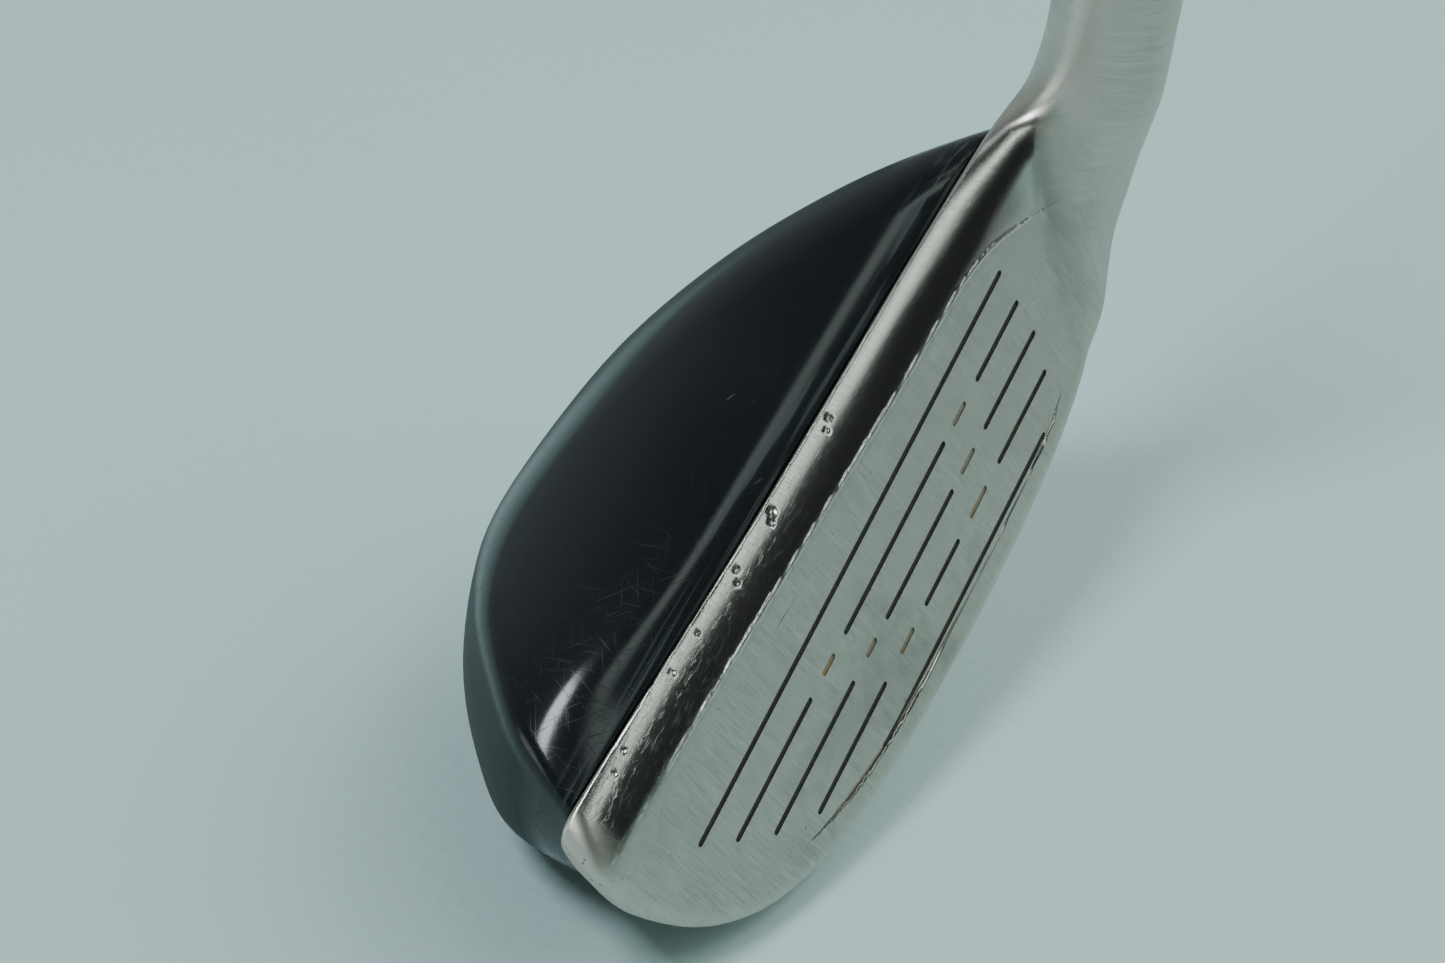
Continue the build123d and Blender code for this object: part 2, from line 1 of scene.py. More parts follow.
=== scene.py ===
"""Looks of the hybrid golf club: head skins with real edges, dents and pockets, a grip with
its relief, every material, the floor, the lights and the camera.
"""

import math

import bpy
import numpy as np
from mathutils import Matrix, Vector


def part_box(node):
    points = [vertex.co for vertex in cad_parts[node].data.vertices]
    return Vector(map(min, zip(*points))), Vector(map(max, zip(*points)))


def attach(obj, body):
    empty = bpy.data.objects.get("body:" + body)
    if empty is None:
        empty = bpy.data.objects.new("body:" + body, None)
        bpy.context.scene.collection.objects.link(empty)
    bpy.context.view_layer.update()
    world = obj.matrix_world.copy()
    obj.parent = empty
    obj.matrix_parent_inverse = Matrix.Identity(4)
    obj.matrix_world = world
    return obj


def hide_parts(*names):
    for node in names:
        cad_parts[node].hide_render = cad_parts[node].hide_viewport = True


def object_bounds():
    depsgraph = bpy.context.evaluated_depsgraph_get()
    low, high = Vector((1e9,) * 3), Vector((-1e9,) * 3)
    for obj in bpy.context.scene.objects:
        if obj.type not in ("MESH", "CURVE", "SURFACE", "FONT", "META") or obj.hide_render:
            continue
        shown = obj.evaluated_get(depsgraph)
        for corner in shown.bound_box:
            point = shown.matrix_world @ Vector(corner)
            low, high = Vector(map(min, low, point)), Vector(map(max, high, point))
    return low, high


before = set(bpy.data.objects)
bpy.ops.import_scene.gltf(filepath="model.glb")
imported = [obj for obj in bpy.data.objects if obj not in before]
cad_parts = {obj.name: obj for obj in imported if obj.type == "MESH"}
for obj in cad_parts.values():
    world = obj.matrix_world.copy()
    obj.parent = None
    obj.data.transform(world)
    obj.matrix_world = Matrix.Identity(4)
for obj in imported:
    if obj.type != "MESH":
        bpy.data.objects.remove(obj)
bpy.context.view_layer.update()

MM = 0.001

# ---- the head's own directions ------------------------------------------------------
# x runs along the ground to the toe, y to the target and z up from the ground. The shaft
# axis leans back towards the heel by 30 degrees, and is the frame's +Z.
LEAN = math.radians(30)
LOFT = math.radians(22)
TOE = np.array([math.cos(LEAN), 0.0, -math.sin(LEAN)])
TARGET = np.array([0.0, 1.0, 0.0])
RISE = np.array([math.sin(LEAN), 0.0, math.cos(LEAN)])
HEAD_TO_FRAME = np.array([TOE, TARGET, RISE])
SHAFT = np.array([-math.sin(LEAN), 0.0, math.cos(LEAN)])

# ---- outlines of the head, in millimetres -------------------------------------------
FACE_BASE_Y = 9.9

# Heights of the topline band's edges along the toe: face edge, ridge and seam
FACE_TOP = (
    (-12, 20.0),
    (0, 26.9),
    (5, 29.5),
    (10, 30.8),
    (16, 31.4),
    (26, 32.1),
    (40, 33.3),
    (62, 35.2),
    (86, 36.6),
)
RIDGE_LINE = ((-12, 33.0), (0, 33.6), (12, 34.4), (28, 35.1), (48, 36.6), (66, 38.2), (80, 38.9), (86, 39.0))
SEAM_LINE = ((-14, 29.6), (-7, 32.2), (0, 33.5), (10, 34.6), (28, 35.6), (48, 37.1), (66, 38.7), (86, 39.4))

# Sole and toe side of the steel front and of the black shells, along the toe and up
FACE_OUTLINE = (
    (-60, 30.0),
    (-14, 12.8),
    (-4, 7.0),
    (10, 1.9),
    (30, 0.0),
    (48, 0.9),
    (60, 2.8),
    (69, 6.0),
    (76, 10.8),
    (81, 17.5),
    (83.8, 25.0),
    (84.9, 32.0),
    (85.2, 40.0),
    (85.2, 60.0),
)
SHELL_OUTLINE = (
    (-60, 30.0),
    (-14, 12.0),
    (-4, 6.0),
    (10, 1.3),
    (30, 0.0),
    (48, 0.5),
    (62, 1.8),
    (72, 4.6),
    (79, 9.5),
    (83.6, 17.0),
    (85.2, 26.0),
    (85.3, 40.0),
    (85.3, 60.0),
)

# Trailing edge from above, and the face plate's outline on the face
PLAN_BACK = (
    (-13.5, -5.5),
    (-5.4, -12.0),
    (4.6, -21.6),
    (16, -31.0),
    (29.2, -38.4),
    (43, -41.1),
    (55, -40.5),
    (67.4, -35.4),
    (76, -28.1),
    (81.8, -20.0),
    (84.4, -9.0),
)
PLATE_OUTLINE = (
    (3.6, 18.0),
    (10.0, 8.9),
    (22.0, 7.5),
    (36.0, 7.4),
    (50.0, 7.7),
    (62.0, 10.2),
    (73.0, 16.8),
    (78.3, 26.0),
    (77.0, 35.0),
    (60.0, 35.0),
    (40.0, 33.2),
    (20.0, 31.6),
    (9.5, 31.0),
    (4.4, 28.4),
)

# The seam between steel and crown, which runs back a little to the toe and bends there
SEAM_HEEL_Y = -7.7
SEAM_SLOPE = -1.7 / 80
SEAM_BEND_START = 40.0
SEAM_BEND = 0.00045

CROWN_SPLIT = 15.0
HOSEL_RADIUS = 6.75
HOSEL_TOP = 68.0

# Sole pockets: where their axes meet the sole, how far they lean back, and their sizes
PORT = (42.0, -25.0, 3.3)
PORT_TILT = math.radians(13)
PORT_RADIUS = 6.1
PORT_DEPTH = 1.0
SHANK_RADIUS = 4.6
SHANK_DEPTH = 9.0
BADGE = (18.0, -17.0, 1.9)
BADGE_TILT = math.radians(10)
BADGE_HALF_LENGTH = 7.6
BADGE_HALF_WIDTH = 4.1
BADGE_DEPTH = 0.8

# Dents along the topline band: place along the toe, place towards the target, radius, depth
DENTS = (
    (31.9, -6.9, 0.9, 0.10),
    (33.2, -6.6, 0.6, 0.08),
    (43.6, -7.2, 1.0, 0.14),
    (44.6, -6.8, 0.7, 0.11),
    (50.8, -7.4, 0.8, 0.10),
    (51.9, -6.7, 0.7, 0.09),
    (58.4, -7.7, 0.6, 0.09),
    (63.1, -7.9, 0.6, 0.09),
    (72.2, -8.3, 0.6, 0.09),
    (74.6, -8.1, 0.6, 0.08),
)


def hermite(line, x):
    """Smooth curve through the line's points, evaluated at an array of x."""
    px = np.array([p[0] for p in line], float)
    py = np.array([p[1] for p in line], float)
    chord = np.diff(py) / np.diff(px)
    slope = np.concatenate(([chord[0]], (chord[:-1] + chord[1:]) / 2, [chord[-1]]))
    x = np.clip(x, px[0], px[-1])
    k = np.clip(np.searchsorted(px, x) - 1, 0, len(px) - 2)
    span = px[k + 1] - px[k]
    t = (x - px[k]) / span
    return (
        py[k] * (1 + 2 * t) * (1 - t) ** 2
        + py[k + 1] * t * t * (3 - 2 * t)
        + span * (slope[k] * t * (1 - t) ** 2 - slope[k + 1] * t * t * (1 - t))
    )


def both(a, b, radius):
    """Intersection of two distance fields with a rounded edge."""
    h = np.clip(0.5 + 0.5 * (a - b) / radius, 0, 1)
    return b + (a - b) * h + radius * h * (1 - h)


def either(a, b, radius):
    """Union of two distance fields with a fillet."""
    return -both(-a, -b, radius)


def without(a, cutter, radius):
    """A distance field with another one taken out of it."""
    return both(a, -cutter, radius)


def smooth_step(t):
    t = np.clip(t, 0, 1)
    return t * t * (3 - 2 * t)


def face_y(z):
    return FACE_BASE_Y - z * math.tan(LOFT)


def seam_y(x):
    return SEAM_HEEL_Y + SEAM_SLOPE * x - SEAM_BEND * np.maximum(x - SEAM_BEND_START, 0) ** 2


def past_line(y, z, ay, az, by, bz):
    """Signed distance in front of the line from a to b in a section: positive on its outer side."""
    dy, dz = by - ay, bz - az
    length = np.sqrt(dy * dy + dz * dz)
    return ((y - ay) * dz - (z - az) * dy) / length


def dense(points, count, closed_through=()):
    """Points along a smooth curve through the given ones, then any straight closing points."""
    p = np.array(points, float)
    chord = np.concatenate(([0], np.cumsum(np.sqrt(np.linalg.norm(np.diff(p, axis=0), axis=1)))))
    at = np.linspace(0, chord[-1], count)
    curve = [hermite(list(zip(chord, p[:, k])), at) for k in (0, 1)]
    return np.concatenate((np.array(curve).T, np.array(closed_through, float).reshape(-1, 2)))


def polygon_distance(polygon, u, w):
    """Signed distance to a closed polygon in a plane, negative inside."""
    best = np.full(u.shape, 1e9)
    inside = np.zeros(u.shape, bool)
    for (au, aw), (bu, bw) in zip(polygon, np.roll(polygon, -1, axis=0)):
        du, dw = bu - au, bw - aw
        t = np.clip(((u - au) * du + (w - aw) * dw) / (du * du + dw * dw + 1e-12), 0, 1)
        best = np.minimum(best, (u - au - t * du) ** 2 + (w - aw - t * dw) ** 2)
        crosses = (aw > w) != (bw > w)
        slope = du / (dw if abs(dw) > 1e-9 else 1e-9)
        inside ^= crosses & (u < au + (w - aw) * slope)
    return np.where(inside, -1, 1) * np.sqrt(best)


# ---- distance fields of the head ----------------------------------------------------
# Where the sides pass from the front's outline to the shells', and the round of the toe end
SHELL_START_Y = -3.0
SHELL_END_Y = -10.0
END_ROUND_START = -3.5
END_ROUND_LENGTH = 8.0
END_ROUND = 2.6
SOLE_CENTRE = -6.0
SOLE_REAR_CURVE = 0.0075
SOLE_FRONT_CURVE = 0.012

# Face, plate and topline band
EDGE_ROUND = 3.2
PLATE_PROUD = 0.012
PLATE_POCKET_DEPTH = 2.7
PLATE_LAP = 0.6
RIDGE_SHARE = 0.55
RIDGE_ROUND = 1.8
HEEL_RIDGE_ROUND = 3.6
HEEL_RIDGE_START = 22.0
HEEL_RIDGE_LENGTH = 24.0
BAND_END_ROUND = 4.0
FACE_EDGE_ROUND = 0.4
EDGE_BURR = 0.24
EDGE_BURR_SINK = 0.10
BURR_HEEL_END = -4.0
BURR_TOE_END = 75.0
BURR_FADE = 8.0
BURR_BLEND = 0.12

# Heel and hosel
HEEL_LIMIT = 3.0
HEEL_ROUND = 5.0
HOSEL_FOOT = 10.0
MELT_START = 11.0
MELT_CURVE = 0.02
MELT_ROUND = 4.0
HOSEL_FILLET = 5.0

# Black shells: dome, rim below it and the strip next to the seam. They are rounder at the
# heel than at the toe, and each round passes from one to the other
DOME_RISE = 2.1
DOME_PEAK_Y = -16.0
DOME_CURVE = 0.024
DOME_TOE_START = 66.0
DOME_TOE_FALL = 0.0075
SHELL_STEP_IN = 0.25
RIM_SLOPE = 2.0
RIM_FRONT_HEIGHT = 31.5
RIM_FALL = 0.36
RIM_HEEL_ROUND = 7.0
RIM_TOE_ROUND = 1.4
STRIP_SINK = 0.1
STRIP_SLOPE = 0.75
STRIP_SLOPE_EASE = 0.40
STRIP_EASE_START = 48.0
STRIP_EASE_LENGTH = 30.0
STRIP_HEEL_ROUND = 1.4
STRIP_TOE_ROUND = 0.7
CRISP_START = 30.0
CRISP_LENGTH = 36.0
WALL_HEEL_ROUND = 6.0
WALL_TOE_ROUND = 2.5
WALL_ROUND_START = 60.0
WALL_ROUND_LENGTH = 20.0
SHOULDER_ROUND = 3.5

# Rounds and gaps where the pieces meet
SEAM_ROUND = 0.5
SEAM_GAP = 0.1
JOINT_ROUND = 0.08
JOINT_GAP = 0.03
DENT_ROUND = 0.08
PLATE_POCKET_ROUND = 0.1
SOLE_POCKET_ROUND = 0.15

FACE_POLYGON = dense(FACE_OUTLINE, 60, [(-60, 60)])
SHELL_POLYGON = dense(SHELL_OUTLINE, 60, [(-60, 60)])
PLAN_POLYGON = dense(PLAN_BACK, 60, [(84.4, 20), (-13.5, 20)])
PLATE_POLYGON = dense(PLATE_OUTLINE + PLATE_OUTLINE[:1], 50)


def shell_sides(x, y, z):
    """Toe side and sole, which the steel front and the black shells share."""
    back = np.minimum(y - SOLE_CENTRE, 0)
    ahead = np.maximum(y - SOLE_CENTRE, 0)
    level = z - SOLE_REAR_CURVE * back**2 - SOLE_FRONT_CURVE * ahead**2
    toe_drop = END_ROUND * smooth_step((END_ROUND_START - y) / END_ROUND_LENGTH)
    part = smooth_step((SHELL_START_Y - y) / (SHELL_START_Y - SHELL_END_Y))
    ahead_side = polygon_distance(FACE_POLYGON, x + toe_drop, level)
    behind_side = polygon_distance(SHELL_POLYGON, x + toe_drop, level)
    return ahead_side * (1 - part) + behind_side * part


def hosel_field(x, y, z):
    """Round hosel, whose front melts into the face towards its foot."""
    along = x * SHAFT[0] + z * SHAFT[2]
    held = np.maximum(along, HOSEL_FOOT)
    px, pz = x - held * SHAFT[0], z - held * SHAFT[2]
    tube = np.sqrt(px * px + y * y + pz * pz) - HOSEL_RADIUS
    proud = MELT_CURVE * np.maximum(along - MELT_START, 0) ** 2
    front = (y - face_y(z)) * math.cos(LOFT) - proud
    return both(tube, front, MELT_ROUND)


def band_fields(x, y, z):
    """The face's plane, the polished facet above it and the flat strip behind the ridge."""
    top = hermite(FACE_TOP, x)
    ridge = hermite(RIDGE_LINE, x)
    seam = seam_y(x)
    face = (y - face_y(z)) * math.cos(LOFT) + PLATE_PROUD
    ridge_y = (1 - RIDGE_SHARE) * face_y(top) + RIDGE_SHARE * seam
    facet = past_line(y, z, face_y(top), top, ridge_y, ridge)
    strip = past_line(y, z, ridge_y, ridge, seam, hermite(SEAM_LINE, x))
    return face, facet, strip


def front_field(x, y, z):
    """Steel front: face, topline band, toe, heel and hosel, in front of the seam."""
    face, facet, strip = band_fields(x, y, z)
    sides = shell_sides(x, y, z)
    heel = HEEL_LIMIT - (TOE[0] * x + RISE[0] * z)
    heel_share = smooth_step((HEEL_RIDGE_START - x) / HEEL_RIDGE_LENGTH)
    ridge_round = RIDGE_ROUND + (HEEL_RIDGE_ROUND - RIDGE_ROUND) * heel_share
    band = both(both(facet, strip, ridge_round), sides, BAND_END_ROUND)
    body = both(both(face, sides, EDGE_ROUND), band, FACE_EDGE_ROUND)
    top = hermite(FACE_TOP, x)
    burr = EDGE_BURR * smooth_step((x - BURR_HEEL_END) / BURR_FADE)
    burr = burr * smooth_step((BURR_TOE_END - x) / BURR_FADE)
    to_edge = np.hypot(y - face_y(top) + EDGE_BURR_SINK, z - top + EDGE_BURR_SINK)
    body = either(body, to_edge - burr, BURR_BLEND)
    body = both(body, heel, HEEL_ROUND)
    hosel = both(hosel_field(x, y, z), sides, EDGE_ROUND)
    return either(body, hosel, HOSEL_FILLET)


def dome_level(x, y):
    """Height of the crown's dome."""
    past_toe_start = np.maximum(x - DOME_TOE_START, 0)
    peak = hermite(SEAM_LINE, x) + DOME_RISE - DOME_TOE_FALL * past_toe_start**2
    return peak - DOME_CURVE * (y - DOME_PEAK_Y) ** 2


def rear_field(x, y, z):
    """Black crown and lower shell, behind the seam."""
    seam = seam_y(x)
    plan = polygon_distance(PLAN_POLYGON, x, y)
    seam_z = hermite(SEAM_LINE, x)
    dome = (z - dome_level(x, y)) / np.sqrt(1 + (2 * DOME_CURVE * (y - DOME_PEAK_Y)) ** 2)
    rim_base = RIM_FRONT_HEIGHT + RIM_FALL * (y - SEAM_HEEL_Y)
    rim = (z - rim_base + RIM_SLOPE * plan) / math.hypot(1, RIM_SLOPE)
    slope = STRIP_SLOPE - STRIP_SLOPE_EASE * smooth_step((x - STRIP_EASE_START) / STRIP_EASE_LENGTH)
    strip = (z - seam_z + STRIP_SINK - slope * (seam - y)) / np.sqrt(1 + slope**2)
    crispness = smooth_step((x - CRISP_START) / CRISP_LENGTH)
    top = both(dome, strip, STRIP_HEEL_ROUND - (STRIP_HEEL_ROUND - STRIP_TOE_ROUND) * crispness)
    top = both(top, rim, RIM_HEEL_ROUND - (RIM_HEEL_ROUND - RIM_TOE_ROUND) * crispness)
    to_toe = smooth_step((x - WALL_ROUND_START) / WALL_ROUND_LENGTH)
    wall_round = WALL_HEEL_ROUND - (WALL_HEEL_ROUND - WALL_TOE_ROUND) * to_toe
    wall = both(plan, shell_sides(x, y, z) + SHELL_STEP_IN, wall_round)
    return both(top, wall, SHOULDER_ROUND)


def seam_field(x, y, z):
    """Negative behind the seam."""
    return y - seam_y(x)


def sole_pockets(x, y, z):
    """Negative in the weight's port and in the badge's recess."""
    px, py, pz = x - PORT[0], y - PORT[1], z - PORT[2]
    depth = py * math.sin(PORT_TILT) + pz * math.cos(PORT_TILT)
    radial = np.sqrt(np.maximum(px * px + py * py + pz * pz - depth * depth, 0))
    port = np.minimum(
        np.maximum(radial - PORT_RADIUS, depth - PORT_DEPTH),
        np.maximum(radial - SHANK_RADIUS, depth - SHANK_DEPTH),
    )
    bx, by, bz = x - BADGE[0], y - BADGE[1], z - BADGE[2]
    badge_depth = by * math.sin(BADGE_TILT) + bz * math.cos(BADGE_TILT)
    across = by * math.cos(BADGE_TILT) - bz * math.sin(BADGE_TILT)
    oval = (np.hypot(bx / BADGE_HALF_LENGTH, across / BADGE_HALF_WIDTH) - 1) * BADGE_HALF_WIDTH
    return np.minimum(port, np.maximum(oval, badge_depth - BADGE_DEPTH))


def plate_pocket(x, y, z):
    """Negative where the face plate sits in the front body."""
    depth = (y - face_y(z)) * math.cos(LOFT)
    up_face = z * math.cos(LOFT) - (y - FACE_BASE_Y) * math.sin(LOFT)
    return np.maximum(polygon_distance(PLATE_POLYGON, x, up_face) + PLATE_LAP, -(depth + PLATE_POCKET_DEPTH))


def dent_places():
    """Centres of the dents' spheres, above the band's surface."""
    centres = []
    levels = np.linspace(30, 42, 481)
    for x, y, radius, depth in DENTS:
        field = front_field(np.full_like(levels, x), np.full_like(levels, y), levels)
        surface = levels[np.argmax(field > 0)]
        centres.append((x, y, surface + radius - depth, radius))
    return centres


DENT_CENTRES = dent_places()


def front_solid(x, y, z):
    """The steel front, closed at the seam and at the hosel's top."""
    along = x * SHAFT[0] + z * SHAFT[2]
    whole = both(front_field(x, y, z), -seam_field(x, y, z), SEAM_ROUND)
    for cx, cy, cz, radius in DENT_CENTRES:
        ball = np.sqrt((x - cx) ** 2 + (y - cy) ** 2 + (z - cz) ** 2) - radius
        whole = without(whole, ball, DENT_ROUND)
    whole = without(whole, plate_pocket(x, y, z), PLATE_POCKET_ROUND)
    return both(whole, along - HOSEL_TOP, SEAM_ROUND)


def rear_solid(x, y, z):
    """Both black shells, closed at the seam."""
    return both(rear_field(x, y, z), seam_field(x, y, z) + SEAM_GAP, SEAM_ROUND)


def crown_solid(x, y, z):
    """The part of the black shells above their joint."""
    return both(rear_solid(x, y, z), CROWN_SPLIT + JOINT_GAP - z, JOINT_ROUND)


def lower_solid(x, y, z):
    """The part below the joint, with the sole's pockets."""
    whole = both(rear_solid(x, y, z), z - CROWN_SPLIT + JOINT_GAP, JOINT_ROUND)
    return without(whole, sole_pockets(x, y, z), SOLE_POCKET_ROUND)


# ---- meshes from fields -------------------------------------------------------------
NEAR_LEVEL = 2.2
CHUNK = 400000


def gradient(field, p, step=0.02):
    """Slope of a field at points, by central differences."""
    g = np.empty_like(p)
    for axis in range(3):
        lo, hi = p.copy(), p.copy()
        lo[:, axis] -= step
        hi[:, axis] += step
        g[:, axis] = (field(*hi.T) - field(*lo.T)) / (2 * step)
    return g


def grid_values(field, low, high, step, coarse):
    """The field on a fine grid, filled in only near its zero level, which a coarse grid finds."""
    big = step * coarse
    count = np.ceil((np.array(high, float) - low) / big).astype(int) + 1
    axes = [low[k] + big * np.arange(count[k]) for k in range(3)]
    grid = np.stack(np.meshgrid(*axes, indexing="ij"), -1).reshape(-1, 3)
    value = field(*grid.T).reshape(count)
    cells = np.argwhere(np.abs(value[:-1, :-1, :-1]) < NEAR_LEVEL * big)
    fine_shape = (count - 1) * coarse + 1
    wanted = np.zeros(fine_shape, bool)
    for offset in np.stack(np.meshgrid(*[np.arange(coarse + 1)] * 3, indexing="ij"), -1).reshape(-1, 3):
        at = cells * coarse + offset
        wanted[at[:, 0], at[:, 1], at[:, 2]] = True
    index = np.argwhere(wanted)
    chunks = np.array_split(index, max(1, len(index) // CHUNK))
    fine = np.full(fine_shape, np.nan, np.float32)
    fine[index[:, 0], index[:, 1], index[:, 2]] = np.concatenate([field(*(low + step * c).T) for c in chunks])
    return fine


def cell_points(fine, place):
    """In each cell, the middle of the points where the cell's edges cross the zero level."""
    points = np.zeros((len(place), 3))
    hits = np.zeros(len(place))
    steps = np.eye(3, dtype=int)
    for axis in range(3):
        others = [k for k in range(3) if k != axis]
        for a in (0, 1):
            for b in (0, 1):
                start = place.copy()
                start[:, others[0]] += a
                start[:, others[1]] += b
                end = start + steps[axis]
                f0 = fine[start[:, 0], start[:, 1], start[:, 2]]
                f1 = fine[end[:, 0], end[:, 1], end[:, 2]]
                cut = (f0 < 0) != (f1 < 0)
                t = np.where(cut, f0 / np.where(cut, f0 - f1, 1), 0)
                points[cut] += (start + t[:, None] * steps[axis])[cut]
                hits[cut] += 1
    return points / hits[:, None]


def cell_quads(inside, known, number):
    """A quad between the four cells round each grid edge that crosses the zero level."""
    quads = []
    steps = np.eye(3, dtype=int)
    for axis in range(3):
        u, w = [(1, 2), (2, 0), (0, 1)][axis]
        head = [slice(None)] * 3
        head[axis] = slice(0, -1)
        tail = [slice(None)] * 3
        tail[axis] = slice(1, None)
        flips = inside[tuple(head)] != inside[tuple(tail)]
        flips &= known[tuple(head)] & known[tuple(tail)]
        edge = np.argwhere(flips)
        ok = (edge[:, u] > 0) & (edge[:, w] > 0)
        ok &= (edge[:, u] < number.shape[u]) & (edge[:, w] < number.shape[w])
        edge = edge[ok]
        around = ((0, 0), (1, 0), (1, 1), (0, 1))
        quad = np.stack([number[tuple((edge - a * steps[u] - b * steps[w]).T)] for a, b in around], 1)
        outward = inside[tuple(edge.T)]
        quad[~outward] = quad[~outward][:, ::-1]
        quads.append(quad[(quad >= 0).all(1)])
    return np.concatenate(quads)


def surface_net(field, low, high, step, coarse=4):
    """Points and quads on the zero level of a field in a box."""
    low = np.array(low, float)
    fine = grid_values(field, low, high, step, coarse)
    inside = fine < 0
    known = ~np.isnan(fine)
    ends = (slice(None, -1), slice(1, None))
    corner = [(a, b, c) for a in ends for b in ends for c in ends]
    total = sum(inside[s].astype(np.int8) for s in corner)
    ready = np.logical_and.reduce([known[s] for s in corner])
    active = ready & (total > 0) & (total < len(corner))
    place = np.argwhere(active)
    number = np.full(active.shape, -1, np.int64)
    number[active] = np.arange(len(place))
    return low + step * cell_points(fine, place), cell_quads(inside, known, number)


def settle(field, points, rounds=3, reach=0.3):
    """Moves points onto the zero level along the field's gradient."""
    for _ in range(rounds):
        g = gradient(field, points)
        norm = np.maximum((g * g).sum(1), 0.05)
        move = -(field(*points.T) / norm)[:, None] * g
        length = np.linalg.norm(move, axis=1)
        points = points + move * np.minimum(1, reach / np.maximum(length, 1e-9))[:, None]
    return points


def to_frame(points):
    """Points of the head in the frame's metres."""
    return points @ HEAD_TO_FRAME * MM


def link_mesh(name, points, faces):
    """A smooth-shaded mesh piece in the scene."""
    mesh = bpy.data.meshes.new(name)
    mesh.from_pydata(points.tolist(), [], faces.tolist())
    mesh.update()
    mesh.polygons.foreach_set("use_smooth", [True] * len(mesh.polygons))
    piece = bpy.data.objects.new(name, mesh)
    bpy.context.scene.collection.objects.link(piece)
    return piece


def make_skin(name, field, low, high, step):
    """A mesh piece on a field's zero level, with the field's own normals.

    Its grid leans with the seam between steel and crown, so that the seam is one clean loop.
    """
    def leaning(x, y, z):
        return field(x, y + SEAM_SLOPE * x, z)

    points, faces = surface_net(leaning, low, high, step)
    points[:, 1] += SEAM_SLOPE * points[:, 0]
    points = settle(field, points)
    skin = link_mesh(name, to_frame(points), faces)
    normal = gradient(field, points)
    normal /= np.maximum(np.linalg.norm(normal, axis=1), 1e-9)[:, None]
    skin.data.normals_split_custom_set_from_vertices((normal @ HEAD_TO_FRAME).tolist())
    return skin, points


def paint_mask(piece, name, values):
    """A number for each vertex, which the piece's material reads."""
    mask = piece.data.attributes.new(name, "FLOAT", "POINT")
    mask.data.foreach_set("value", np.clip(values, 0, 1).astype(np.float32))


# ---- head pieces --------------------------------------------------------------------
STEP = 0.34
front_skin, front_points = make_skin("front_body_skin", front_solid, (-46, -9, -4), (90, 13, 70), STEP)
crown_skin, crown_points = make_skin("crown_skin", crown_solid, (-20, -43, 12), (90, -6, 45), STEP)
lower_skin, lower_points = make_skin("rear_shell_skin", lower_solid, (-20, -43, -3), (90, -6, 18), STEP)
for skin in (front_skin, crown_skin, lower_skin):
    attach(skin, "root")
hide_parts("front_body")
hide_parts("crown")
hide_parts("rear_shell")

# The polished facet fades out at the heel and ends short of the toe
POLISH_HEEL_START = -11.0
POLISH_HEEL_END = -5.0
POLISH_TOE_START = 78.5
POLISH_TOE_END = 81.0
RIDGE_POLISH = 0.55
EDGE_LINE_WIDTH = 0.3
EDGE_ANGLE = math.radians(22)
BEHIND_FACE = 0.05
BEHIND_FACE_FADE = 0.2
POLISH_BOTTOM = 24.0
POLISH_BOTTOM_FADE = 3.0
FACET_REACH = 0.25
FACET_FADE = 0.5
face, facet, _ = band_fields(*front_points.T)
along_toe = front_points[:, 0]
on_band = smooth_step((-face - BEHIND_FACE) / BEHIND_FACE_FADE)
upper = smooth_step((front_points[:, 2] - POLISH_BOTTOM) / POLISH_BOTTOM_FADE)
heel_fade = smooth_step((along_toe - POLISH_HEEL_START) / (POLISH_HEEL_END - POLISH_HEEL_START))
toe_fade = 1 - smooth_step((along_toe - POLISH_TOE_START) / (POLISH_TOE_END - POLISH_TOE_START))
near_facet = smooth_step(1 - (np.abs(facet) - FACET_REACH) / FACET_FADE)
shine_share = RIDGE_POLISH + (1 - RIDGE_POLISH) * near_facet
paint_mask(front_skin, "polish", on_band * upper * heel_fade * toe_fade * shine_share)
# Mask of the edge between facet and face, painted nearly white: worn bare steel, plus a painted highlight for
# the light its small round edge catches
edge_distance = np.hypot(face, facet) / math.sin(EDGE_ANGLE)
worn_edge_and_highlight = np.exp(-((edge_distance / EDGE_LINE_WIDTH) ** 2)) * heel_fade * toe_fade
paint_mask(front_skin, "worn_edge_and_highlight", worn_edge_and_highlight)

# The crown's rim, below its dome and behind the strip by the seam, is less glossy
RIM_MASK_START = 0.3
RIM_MASK_FADE = 2.5
STRIP_MASK_WIDTH = 4.0
for skin, points in ((crown_skin, crown_points), (lower_skin, lower_points)):
    below_dome = dome_level(points[:, 0], points[:, 1]) - points[:, 2]
    behind_seam = seam_y(points[:, 0]) - points[:, 1]
    behind_strip = smooth_step((behind_seam - STRIP_MASK_WIDTH) / STRIP_MASK_WIDTH)
    paint_mask(skin, "rim", smooth_step((below_dome - RIM_MASK_START) / RIM_MASK_FADE) * behind_strip)

# ---- grip ---------------------------------------------------------------------------
GRIP_LOW, GRIP_HIGH = (corner[2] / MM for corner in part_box("grip"))
GRIP_PROFILE = ((0, 9.4), (0.2, 10.0), (0.7, 12.5), (1, 13.4))
BORE_RADIUS = 7.85
BORE_ROWS = 12
GRIP_AROUND = 144
GRIP_ROWS = 560
DIAMONDS_AROUND = 18
DIAMOND_LENGTH = 8.5
GROOVE_DEPTH = 0.45
GROOVE_WIDTH = 0.11
RELIEF_BANDS = ((0.06, 0.30), (0.34, 0.62), (0.66, 0.94))
BAND_FADE = 0.006
RING_GROOVES = (0.035, 0.32, 0.64, 0.965)
RING_WIDTH = 0.0035
LIP_LENGTH = 1.6
LIP_ROUND = 1.0


